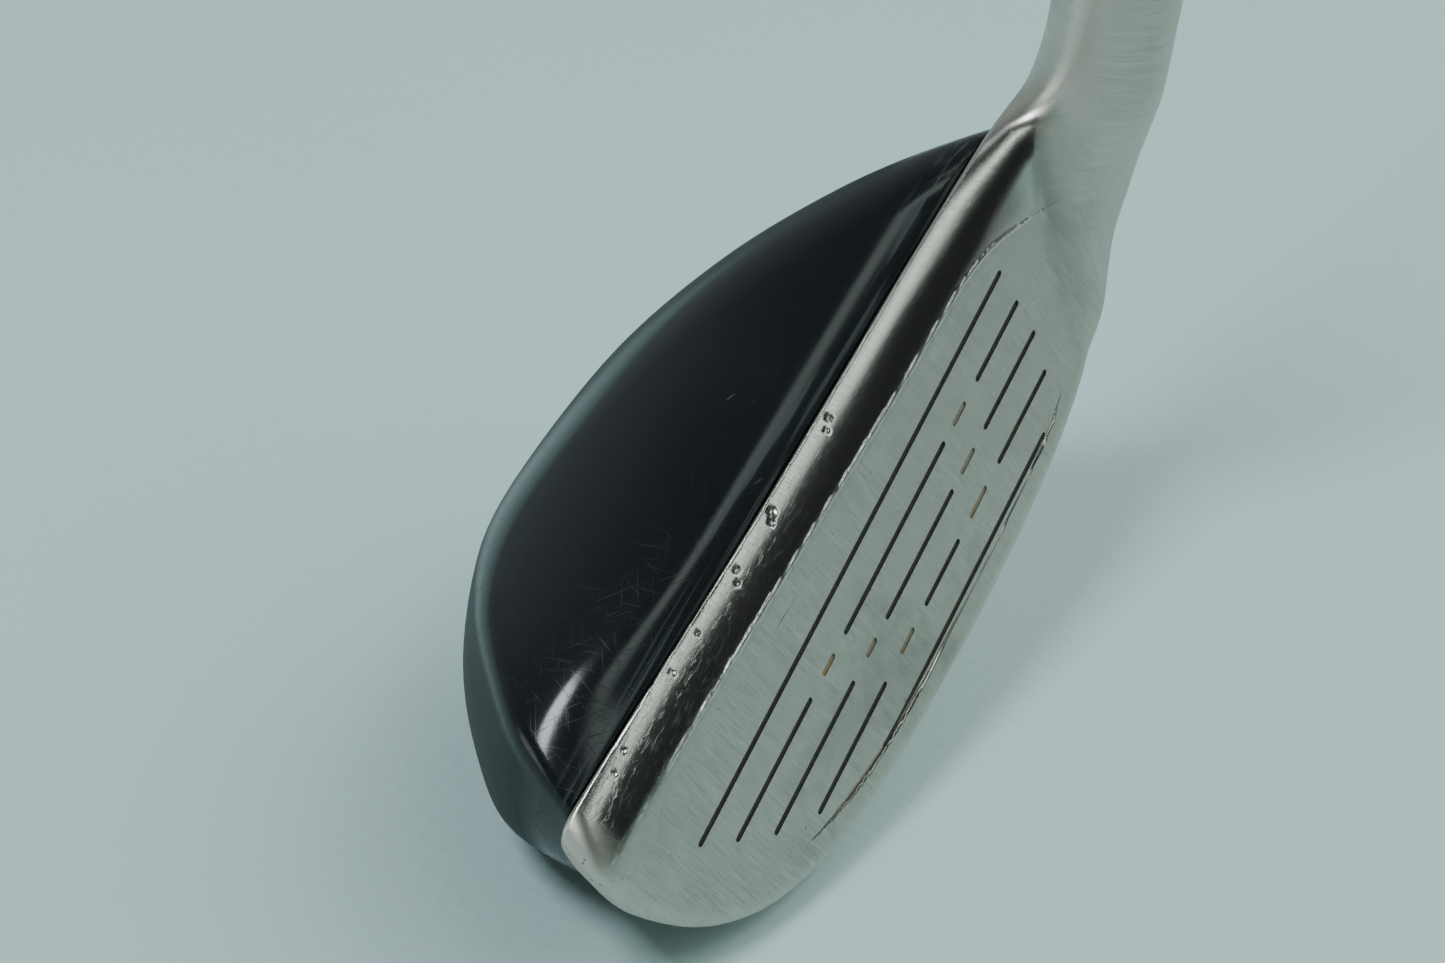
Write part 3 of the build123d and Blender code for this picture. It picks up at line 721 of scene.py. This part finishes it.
def grip_relief(share, angle, height):
    """Depth of the grip's grooves: crossed helices in three bands, with rings between them."""
    turns = angle / (2 * math.pi) * DIAMONDS_AROUND
    climb = height / DIAMOND_LENGTH
    deep = np.zeros_like(share)
    for lean in (-1, 1):
        off_line = np.abs((turns + lean * climb + 0.5) % 1 - 0.5)
        deep = np.maximum(deep, 1 - smooth_step(off_line / GROOVE_WIDTH))
    inside_band = np.zeros_like(share)
    for start, end in RELIEF_BANDS:
        edge_fade = np.minimum(share - start, end - share) / BAND_FADE
        inside_band = np.maximum(inside_band, smooth_step(edge_fade))
    ring = np.zeros_like(share)
    for at in RING_GROOVES:
        ring = np.maximum(ring, 1 - smooth_step(np.abs(share - at) / RING_WIDTH))
    return GROOVE_DEPTH * np.maximum(deep * inside_band, ring)


def tube_faces(rows, around):
    """Quads between the rows of a closed ring of vertices, joined end to start."""
    row, column = np.meshgrid(np.arange(rows), np.arange(around), indexing="ij")
    after, beside = (row + 1) % rows, (column + 1) % around
    corner = [row * around + column, row * around + beside, after * around + beside, after * around + column]
    return np.stack([c.reshape(-1) for c in corner], 1)


def make_grip():
    """A tapered sleeve with relief outside and a plain bore, closed at both ends."""
    share = np.linspace(0, 1, GRIP_ROWS)
    angle = np.arange(GRIP_AROUND) * 2 * math.pi / GRIP_AROUND
    height = GRIP_LOW + share * (GRIP_HIGH - GRIP_LOW)
    s, a = np.meshgrid(share, angle, indexing="ij")
    h = np.repeat(height[:, None], GRIP_AROUND, 1)
    lip = np.clip((height - GRIP_LOW) / LIP_LENGTH, 0, 1)
    radius = hermite(GRIP_PROFILE, share) - LIP_ROUND * (1 - np.sqrt(1 - (1 - lip) ** 2))
    outer = radius[:, None] - grip_relief(s, a, h)
    inner_heights = np.linspace(GRIP_HIGH, GRIP_LOW, BORE_ROWS)
    ring = np.concatenate((outer, np.full((BORE_ROWS, GRIP_AROUND), BORE_RADIUS)))
    level = np.concatenate((h, np.repeat(inner_heights[:, None], GRIP_AROUND, 1)))
    turn = np.repeat(angle[None, :], len(ring), 0)
    points = np.stack((ring * np.cos(turn), ring * np.sin(turn), level), -1).reshape(-1, 3) * MM
    return link_mesh("grip_sleeve", points, tube_faces(len(ring), GRIP_AROUND))


grip_piece = make_grip()
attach(grip_piece, "root")
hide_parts("grip")


# ---- materials ----------------------------------------------------------------------
class Finish:
    """A material being made, with short calls for its nodes. Lengths are in metres."""

    def __init__(self, name, **sockets):
        self.material = bpy.data.materials.new(name)
        self.material.use_nodes = True
        self.tree = self.material.node_tree
        self.shader = self.tree.nodes["Principled BSDF"]
        self.place = self.node("ShaderNodeTexCoord").outputs["Object"]
        for socket, value in sockets.items():
            self.shader.inputs[socket.replace("_", " ")].default_value = value

    def node(self, kind, **settings):
        made = self.tree.nodes.new(kind)
        for key, value in settings.items():
            setattr(made, key, value)
        return made

    def join(self, source, target):
        """Links an output, or sets a number or colour, on an input socket."""
        if isinstance(source, bpy.types.NodeSocket):
            self.tree.links.new(source, target)
        else:
            target.default_value = source

    def head_place(self):
        """Coordinates along the toe, to the target and up from the ground."""
        turn = self.node("ShaderNodeMapping")
        turn.inputs["Rotation"].default_value = (0, -LEAN, 0)
        self.join(self.place, turn.inputs["Vector"])
        return turn.outputs["Vector"]

    def stretched(self, source, scale, turn=(0, 0, 0)):
        """Coordinates turned and then scaled."""
        turned = self.node("ShaderNodeMapping")
        turned.inputs["Rotation"].default_value = turn
        self.join(source, turned.inputs["Vector"])
        scaled = self.node("ShaderNodeMapping")
        scaled.inputs["Scale"].default_value = scale
        self.join(turned.outputs["Vector"], scaled.inputs["Vector"])
        return scaled.outputs["Vector"]

    def noise(self, vector, scale=1.0, detail=2.0, rough=0.5, warp=0.0):
        made = self.node("ShaderNodeTexNoise")
        self.join(vector, made.inputs["Vector"])
        made.inputs["Scale"].default_value = scale
        made.inputs["Detail"].default_value = detail
        made.inputs["Roughness"].default_value = rough
        made.inputs["Distortion"].default_value = warp
        return made.outputs["Fac"]

    def spots(self, vector, scale):
        """Distance to scattered points."""
        made = self.node("ShaderNodeTexVoronoi")
        self.join(vector, made.inputs["Vector"])
        made.inputs["Scale"].default_value = scale
        return made.outputs["Distance"]

    def spread(self, value, low, high, out_low=0.0, out_high=1.0):
        """A value's range mapped smoothly onto another one."""
        made = self.node("ShaderNodeMapRange", interpolation_type="SMOOTHSTEP")
        ends = {"From Min": low, "From Max": high, "To Min": out_low, "To Max": out_high}
        for name, number in ends.items():
            made.inputs[name].default_value = number
        self.join(value, made.inputs["Value"])
        return made.outputs["Result"]

    def math(self, operation, a, b=0.0):
        made = self.node("ShaderNodeMath", operation=operation)
        self.join(a, made.inputs[0])
        self.join(b, made.inputs[1])
        return made.outputs["Value"]

    def mix(self, share, a, b):
        """A number between two others."""
        made = self.node("ShaderNodeMix", data_type="FLOAT")
        for source, index in ((share, 0), (a, 2), (b, 3)):
            self.join(source, made.inputs[index])
        return made.outputs[0]

    def tint(self, share, a, b):
        """A colour between two others."""
        made = self.node("ShaderNodeMix", data_type="RGBA")
        for source, index in ((share, 0), (a, 6), (b, 7)):
            self.join((*source, 1) if isinstance(source, tuple) else source, made.inputs[index])
        return made.outputs[2]

    def mask(self, name):
        """A number painted on the mesh's vertices."""
        return self.node("ShaderNodeAttribute", attribute_name=name).outputs["Fac"]

    def axis(self, vector, index):
        made = self.node("ShaderNodeSeparateXYZ")
        self.join(vector, made.inputs["Vector"])
        return made.outputs[index]

    def surface(self, colour=None, roughness=None, height=None, relief=0.0):
        """Links what varies over the surface. Relief is the height of a bump of one, in metres."""
        if colour is not None:
            self.join(colour, self.shader.inputs["Base Color"])
        if roughness is not None:
            self.join(roughness, self.shader.inputs["Roughness"])
        if height is not None:
            bump = self.node("ShaderNodeBump")
            bump.inputs["Strength"].default_value = 1.0
            bump.inputs["Distance"].default_value = relief
            self.join(height, bump.inputs["Height"])
            self.join(bump.outputs["Normal"], self.shader.inputs["Normal"])
        return self.material


def steel(name, marked):
    """Satin steel: brushed round the hosel, across the band and faintly over the face."""
    f = Finish(name, Metallic=1.0, Anisotropic=0.8)
    up_shaft = f.node("ShaderNodeCombineXYZ")
    up_shaft.inputs["Z"].default_value = 1.0
    f.join(up_shaft.outputs["Vector"], f.shader.inputs["Tangent"])
    head = f.head_place()
    band_brush = f.noise(f.stretched(head, (5000, 260, 260)), detail=3, rough=0.6)
    hosel_brush = f.noise(f.stretched(f.place, (150, 150, 5600)), detail=3, rough=0.6)
    on_hosel = f.spread(f.axis(f.place, 2), 0.016, 0.030)
    brush = f.mix(on_hosel, band_brush, hosel_brush)
    grain = f.noise(head, 2400, detail=2)
    cloud = f.noise(head, 70, detail=4, rough=0.65, warp=0.6)
    smudge = f.spread(f.noise(head, 38, detail=5, rough=0.7), 0.52, 0.74)
    hairline_a = f.noise(f.stretched(head, (90, 700, 2600), (0.4, 0.2, 0.5)), detail=2)
    hairline_b = f.noise(f.stretched(head, (900, 90, 2900), (0.9, 0.1, -0.6)), detail=2)
    hairline = f.math("MAXIMUM", f.spread(hairline_a, 0.70, 0.78), f.spread(hairline_b, 0.71, 0.79))
    toe_wear = f.spread(f.axis(head, 0), 0.020, 0.070, 0.25, 1.0)
    pits = f.spread(f.spots(head, 900), 0.10, 0.20, 1.0, 0.0)
    pits = f.math("MULTIPLY", pits, f.spread(f.noise(head, 160, detail=2), 0.56, 0.66))
    pits = f.math("MULTIPLY", pits, toe_wear)
    colour = f.tint(cloud, (0.51, 0.485, 0.42), (0.645, 0.615, 0.54))
    streaks = f.math("ADD", f.math("MULTIPLY", brush, 0.7), f.math("MULTIPLY", grain, 0.3))
    streaks = f.spread(streaks, 0.38, 0.62)
    colour = f.tint(f.math("MULTIPLY", streaks, 0.18), colour, (0.34, 0.335, 0.30))
    colour = f.tint(f.math("MULTIPLY", smudge, 0.45), colour, (0.36, 0.36, 0.31))
    colour = f.tint(f.math("MULTIPLY", hairline, 0.35), colour, (0.80, 0.81, 0.78))
    colour = f.tint(f.math("MULTIPLY", pits, 0.75), colour, (0.12, 0.115, 0.10))
    satin = f.spread(brush, 0.25, 0.75, 0.32, 0.44)
    satin = f.math("ADD", satin, f.math("MULTIPLY", smudge, 0.08))
    height = f.math("ADD", f.math("MULTIPLY", brush, 0.7), f.math("MULTIPLY", grain, 0.5))
    height = f.math("SUBTRACT", height, f.math("MULTIPLY", pits, 3.0))
    if not marked:
        return f.surface(colour, satin, height, 0.00001)
    polish = f.mask("polish")
    rub = f.spread(f.noise(f.stretched(head, (700, 2600, 2600)), detail=3, rough=0.7, warp=0.4), 0.48, 0.72)
    rub = f.math("MULTIPLY", rub, toe_wear)
    colour = f.tint(f.math("MULTIPLY", polish, 0.5), colour, (0.50, 0.52, 0.51))
    shine = f.mix(rub, 0.15, 0.27)
    roughness = f.mix(polish, satin, shine)
    chips = f.spread(f.noise(head, 1500, detail=3, rough=0.7), 0.35, 0.65)
    # The worn edge is tinted nearly white: partly bare worn steel, partly a painted highlight of the bright
    # edge line
    worn = f.math("MULTIPLY", f.mask("worn_edge_and_highlight"), f.mix(toe_wear, 0.45, chips))
    colour = f.tint(worn, colour, (0.92, 0.93, 0.91))
    roughness = f.mix(worn, roughness, 0.30)
    height = f.math("MULTIPLY", height, f.mix(polish, 1.0, 0.45))
    height = f.math("ADD", height, f.math("MULTIPLY", f.math("MULTIPLY", chips, worn), 2.5))
    height = f.math("SUBTRACT", height, f.math("MULTIPLY", f.math("MULTIPLY", rub, polish), 0.8))
    return f.surface(colour, roughness, height, 0.00001)


def black_paint():
    """Deep gloss black with fine swirl marks, a few nicks and streaks by the seam."""
    f = Finish("black_paint", IOR=1.40, Specular_IOR_Level=0.4)
    head = f.head_place()
    hair = []
    for angle, reach in ((0.7, 4300), (-0.5, 4700), (2.0, 5100), (1.35, 4500)):
        line = f.noise(f.stretched(head, (170, reach, 50), (0, 0, angle)), detail=1, warp=0.05)
        hair.append(f.spread(line, 0.64, 0.74))
    swirl = f.math("MAXIMUM", f.math("MAXIMUM", hair[0], hair[1]), f.math("MAXIMUM", hair[2], hair[3]))
    worn = f.spread(f.axis(head, 0), 0.030, 0.072, 0.12, 1.0)
    swirl = f.math("MULTIPLY", swirl, worn)
    nick = f.spread(f.noise(f.stretched(head, (260, 1500, 120), (0, 0, 0.4)), detail=1), 0.77, 0.80)
    nick = f.math("MULTIPLY", nick, f.spread(f.noise(head, 95, detail=2), 0.55, 0.68))
    nick = f.math("MULTIPLY", nick, worn)
    behind_seam = f.math("ADD", f.axis(head, 1), f.math("MULTIPLY", f.axis(head, 0), -SEAM_SLOPE))
    behind_seam = f.math("SUBTRACT", SEAM_HEEL_Y * MM, behind_seam)
    near_seam = f.spread(behind_seam, 0.0022, 0.0034, 1.0, 0.0)
    streak = f.noise(f.stretched(head, (14, 2100, 700), (0, 0, -SEAM_SLOPE)), detail=2)
    streak = f.math("MULTIPLY", f.spread(streak, 0.50, 0.66), near_seam)
    cloud = f.noise(head, 55, detail=4)
    colour = f.tint(cloud, (0.0065, 0.0085, 0.009), (0.011, 0.014, 0.0145))
    colour = f.tint(f.math("MULTIPLY", streak, 0.8), colour, (0.035, 0.042, 0.042))
    colour = f.tint(f.math("MULTIPLY", swirl, 0.02), colour, (0.12, 0.13, 0.14))
    colour = f.tint(nick, colour, (0.42, 0.44, 0.42))
    roughness = f.mix(swirl, f.spread(cloud, 0.3, 0.7, 0.13, 0.18), 0.34)
    roughness = f.mix(streak, roughness, 0.30)
    roughness = f.mix(f.mask("rim"), roughness, 0.55)
    height = f.math("SUBTRACT", 0.0, f.math("ADD", swirl, f.math("MULTIPLY", nick, 3.0)))
    return f.surface(colour, roughness, height, 0.0000016)


def line_paint(name, dark, dirt, amount):
    """Old paint in the score lines, with dirt caught in it."""
    f = Finish(name, Metallic=0.0)
    head = f.head_place()
    patch = f.spread(f.noise(f.stretched(head, (420, 900, 900)), detail=4, rough=0.7), *amount)
    grain = f.noise(head, 4200, detail=2)
    colour = f.tint(patch, dark, dirt)
    return f.surface(colour, f.spread(grain, 0.3, 0.7, 0.5, 0.8), grain, 0.00003)


def brushed_metal(name, low, high, lowest, highest, along=False):
    """Turned or ground metal, brushed round the shaft axis or along it."""
    f = Finish(name, Metallic=1.0)
    scale = (1600, 1600, 60) if along else (90, 90, 3200)
    brush = f.noise(f.stretched(f.place, scale), detail=3, rough=0.6)
    cloud = f.noise(f.place, 140, detail=3)
    colour = f.tint(cloud, low, high)
    return f.surface(colour, f.spread(brush, 0.25, 0.75, lowest, highest), brush, 0.00001)


def moulded(name, low, high, roughest, scale, relief, **sockets):
    """Moulded plastic, rubber, glue or tape: a fine grain over a cloudy colour."""
    f = Finish(name, **sockets)
    grain = f.noise(f.place, scale, detail=4, rough=0.65)
    cloud = f.noise(f.place, scale / 24, detail=3)
    wear = f.spread(f.noise(f.place, scale / 60, detail=4, rough=0.7), 0.5, 0.75)
    colour = f.tint(f.math("MULTIPLY", f.math("ADD", cloud, wear), 0.6), low, high)
    roughness = f.math("ADD", grain, f.math("MULTIPLY", wear, 0.5))
    roughness = f.spread(roughness, 0.4, 1.1, roughest - 0.14, roughest)
    return f.surface(colour, roughness, grain, relief)


def graphite():
    """Sanded graphite under clear lacquer: wound fibres that show faintly along the shaft."""
    f = Finish("graphite", Coat_Weight=1.0, Coat_Roughness=0.06)
    fibre_a = f.noise(f.stretched(f.place, (700, 700, 26), (0.02, 0, 0)), detail=3, rough=0.7)
    fibre_b = f.noise(f.stretched(f.place, (1500, 1500, 90)), detail=2)
    wound = f.math("SINE", f.math("MULTIPLY", f.axis(f.place, 2), 700.0))
    weave = f.math("ADD", f.math("MULTIPLY", fibre_a, 0.7), f.math("MULTIPLY", fibre_b, 0.4))
    weave = f.math("ADD", weave, f.math("MULTIPLY", wound, 0.035))
    colour = f.tint(f.spread(weave, 0.35, 0.75), (0.018, 0.020, 0.022), (0.075, 0.082, 0.085))
    return f.surface(colour, f.spread(weave, 0.3, 0.8, 0.28, 0.42), weave, 0.00001)


def label_foil():
    """Blank foil band: brushed silver with three plain dark rings."""
    f = Finish("label_foil", Metallic=1.0)
    low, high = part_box("shaft_label")
    share = f.spread(f.axis(f.place, 2), low[2], high[2])
    brush = f.noise(f.stretched(f.place, (900, 900, 60)), detail=3, rough=0.6)
    colour = f.tint(brush, (0.52, 0.54, 0.55), (0.66, 0.68, 0.69))
    for at, half in ((0.10, 0.02), (0.16, 0.008), (0.90, 0.02)):
        off = f.math("ABSOLUTE", f.math("SUBTRACT", share, at))
        colour = f.tint(f.spread(off, half, half + 0.003, 1.0, 0.0), colour, (0.02, 0.024, 0.028))
    return f.surface(colour, f.spread(brush, 0.3, 0.7, 0.24, 0.38), brush, 0.000008)


def grip_rubber():
    """Black rubber with a fine dimple, greyed a little where hands rub it."""
    f = Finish("grip_rubber", Sheen_Weight=0.15, Sheen_Roughness=0.5)
    grain = f.noise(f.place, 2600, detail=3, rough=0.7)
    dimples = f.spread(f.spots(f.place, 1100), 0.15, 0.45)
    rubbed = f.spread(f.noise(f.place, 28, detail=4, rough=0.6), 0.45, 0.75)
    colour = f.tint(f.math("MULTIPLY", rubbed, 0.8), (0.016, 0.017, 0.018), (0.045, 0.046, 0.046))
    roughness = f.mix(rubbed, f.spread(grain, 0.3, 0.7, 0.62, 0.78), 0.52)
    height = f.math("ADD", f.math("MULTIPLY", dimples, 0.7), grain)
    return f.surface(colour, roughness, height, 0.00005)


GREY_GUM = ((0.05, 0.05, 0.05), (0.09, 0.09, 0.088))
HOT_MELT = ((0.62, 0.55, 0.36), (0.72, 0.66, 0.48))
FERRULE_BLACK = ((0.009, 0.010, 0.011), (0.020, 0.021, 0.022))
CAP_BLACK = ((0.014, 0.015, 0.016), (0.040, 0.040, 0.041))
finishes = {
    "front_body_skin": steel("marked_steel", True),
    "face_plate": steel("face_steel", False),
    "crown_skin": black_paint(),
    "grip_sleeve": grip_rubber(),
    "score_line_paint": line_paint("line_paint", (0.022, 0.021, 0.018), (0.075, 0.062, 0.040), (0.55, 0.8)),
    "score_mark_paint": line_paint("mark_paint", (0.20, 0.20, 0.17), (0.30, 0.21, 0.075), (0.45, 0.62)),
    "face_weld_bead": brushed_metal("weld_steel", (0.36, 0.33, 0.30), (0.52, 0.50, 0.47), 0.35, 0.55),
    "crown_ledge": brushed_metal("ledge_steel", (0.42, 0.42, 0.40), (0.55, 0.55, 0.53), 0.35, 0.5),
    "weight_boss": brushed_metal("boss_steel", (0.42, 0.42, 0.40), (0.55, 0.55, 0.53), 0.3, 0.45),
    "sole_weight": brushed_metal("weight_steel", (0.46, 0.47, 0.48), (0.60, 0.61, 0.61), 0.20, 0.34),
    "weight_seal": moulded("seal_rubber", *GREY_GUM, 0.75, 1800, 0.00003),
    "sole_badge": brushed_metal("badge_metal", (0.50, 0.50, 0.50), (0.64, 0.64, 0.63), 0.22, 0.36, True),
    "back_weight": brushed_metal("tungsten", (0.30, 0.30, 0.31), (0.40, 0.40, 0.41), 0.35, 0.5),
    "damper_pad": moulded("hot_melt", *HOT_MELT, 0.4, 300, 0.0001, Transmission_Weight=0.2),
    "hosel_stop": moulded("stop_rubber", *GREY_GUM, 0.7, 1500, 0.00003),
    "hosel_epoxy": moulded("epoxy", (0.50, 0.42, 0.24), (0.60, 0.52, 0.32), 0.3, 900, 0.00002),
    "ferrule": moulded("ferrule_plastic", *FERRULE_BLACK, 0.22, 900, 0.000004, Coat_Weight=0.3),
    "ferrule_ring": brushed_metal("ring_metal", (0.62, 0.63, 0.64), (0.74, 0.75, 0.75), 0.16, 0.28),
    "shaft": graphite(),
    "tip_weight": brushed_metal("tip_brass", (0.62, 0.45, 0.20), (0.74, 0.56, 0.28), 0.25, 0.4),
    "shaft_label": label_foil(),
    "grip_tape": moulded("tape", (0.52, 0.48, 0.38), (0.62, 0.58, 0.48), 0.75, 700, 0.00005),
    "grip_cap": moulded("cap_rubber", *CAP_BLACK, 0.62, 1500, 0.00002, Sheen_Weight=0.1),
}
finishes["rear_shell_skin"] = finishes["crown_skin"]

for name, finish in finishes.items():
    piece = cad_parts.get(name) or bpy.data.objects[name]
    if piece.material_slots:
        for slot in piece.material_slots:
            slot.material = finish
    else:
        piece.data.materials.append(finish)


# ---- floor, lights and camera -------------------------------------------------------
def floor_cloth():
    """Plain pale cloth with a barely visible weave."""
    f = Finish("floor_cloth", Metallic=0.0)
    weave = f.noise(f.stretched(f.place, (900, 160, 160)), detail=2)
    cross = f.noise(f.stretched(f.place, (160, 900, 160)), detail=2)
    cloud = f.noise(f.place, 3.0, detail=3)
    colour = f.tint(cloud, (0.435, 0.583, 0.575), (0.48, 0.635, 0.626))
    height = f.math("ADD", weave, cross)
    return f.surface(colour, f.spread(cloud, 0.3, 0.7, 0.80, 0.92), height, 0.0001)


FLOOR_SIZE = 80.0
FLOOR_GAP = 0.0005
visual_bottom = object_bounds()[0][2]
bpy.ops.mesh.primitive_plane_add(size=FLOOR_SIZE, location=(0, 0, visual_bottom - FLOOR_GAP))
floor = bpy.context.object
floor.name = "floor"
floor.data.materials.append(floor_cloth())


# Bright parts of the room: direction, where each begins and is full, and its strength
ROOM_BASE = 0.03
ROOM_PARTS = (
    ((-0.58, -0.78, -0.25), -0.25, 0.75, 0.42),
    ((-0.86, 0.50, 0.00), 0.74, 0.98, 0.40),
    ((0.60, 0.80, -0.10), 0.80, 0.98, 0.25),
    ((0.76, -0.65, 0.12), 0.95, 0.99, 3.0),
)


def studio_world():
    """A dim room: pale walls behind and beside the club, a window, dark ahead and overhead."""
    world = bpy.data.worlds.new("studio")
    bpy.context.scene.world = world
    world.use_nodes = True
    tree = world.node_tree
    background = tree.nodes["Background"]
    background.inputs["Color"].default_value = (0.86, 0.985, 1.0, 1)
    direction = tree.nodes.new("ShaderNodeTexCoord").outputs["Generated"]
    total = ROOM_BASE
    for toward, start, full, strength in ROOM_PARTS:
        facing = tree.nodes.new("ShaderNodeVectorMath")
        facing.operation = "DOT_PRODUCT"
        facing.inputs[1].default_value = Vector(toward).normalized()
        tree.links.new(direction, facing.inputs[0])
        fade = tree.nodes.new("ShaderNodeMapRange")
        fade.interpolation_type = "SMOOTHSTEP"
        for name, number in (("From Min", start), ("From Max", full), ("To Max", strength)):
            fade.inputs[name].default_value = number
        tree.links.new(facing.outputs["Value"], fade.inputs["Value"])
        both_parts = tree.nodes.new("ShaderNodeMath")
        if isinstance(total, float):
            both_parts.inputs[0].default_value = total
        else:
            tree.links.new(total, both_parts.inputs[0])
        tree.links.new(fade.outputs["Result"], both_parts.inputs[1])
        total = both_parts.outputs["Value"]
    tree.links.new(total, background.inputs["Strength"])


studio_world()


HEAD_MIDDLE = Vector(to_frame(np.array([40.0, -10.0, 30.0])))


def add_lamp(name, kind, toward, power, tone, reflected):
    """A lamp that shines on the club from a direction."""
    light = bpy.data.lights.new(name, kind)
    light.energy = power
    light.color = tone
    lamp = bpy.data.objects.new(name, light)
    bpy.context.scene.collection.objects.link(lamp)
    lamp.rotation_euler = Vector(toward).to_track_quat("Z", "Y").to_euler()
    lamp.visible_glossy = reflected
    return lamp


def soft_light(name, toward, distance, sides, power, tone, reflected=True):
    """A soft rectangular light at a distance from the head."""
    lamp = add_lamp(name, "AREA", toward, power, tone, reflected)
    lamp.data.shape = "RECTANGLE"
    lamp.data.size, lamp.data.size_y = sides
    lamp.location = HEAD_MIDDLE + Vector(toward).normalized() * distance


soft_light("key_light", (0.44, -0.17, 0.88), 1.1, (0.28, 0.26), 8.0, (0.88, 0.95, 1.0))
soft_light("ridge_light", (0.00, 0.40, 0.92), 0.95, (0.70, 0.14), 1.1, (0.86, 1.0, 0.96))
soft_light("floor_light", (-0.55, 0.46, 0.70), 0.75, (0.60, 0.60), 2.5, (0.92, 0.99, 0.99), reflected=False)

room_light = add_lamp("room_light", "SUN", (-0.45, 0.40, 0.80), 1.0, (0.92, 0.99, 0.99), reflected=False)
room_light.data.angle = math.radians(70)

# The camera: its place in millimetres, and the directions of its own axes
CAMERA_PLACE = (252.155, 78.181, 186.378)
CAMERA_RIGHT = (-0.48017, 0.87331, 0.08225)
CAMERA_UP = (-0.52335, -0.36047, 0.77212)
CAMERA_BACK = (0.70395, 0.32770, 0.63014)
camera_data = bpy.data.cameras.new("camera")
camera_data.lens = 70
camera_data.sensor_width = 36
camera_data.clip_start = 0.01
camera = bpy.data.objects.new("camera", camera_data)
bpy.context.scene.collection.objects.link(camera)
turn = Matrix((CAMERA_RIGHT, CAMERA_UP, CAMERA_BACK)).transposed()
camera.matrix_world = Matrix.Translation(Vector(CAMERA_PLACE) * MM) @ turn.to_4x4()
bpy.context.scene.camera = camera
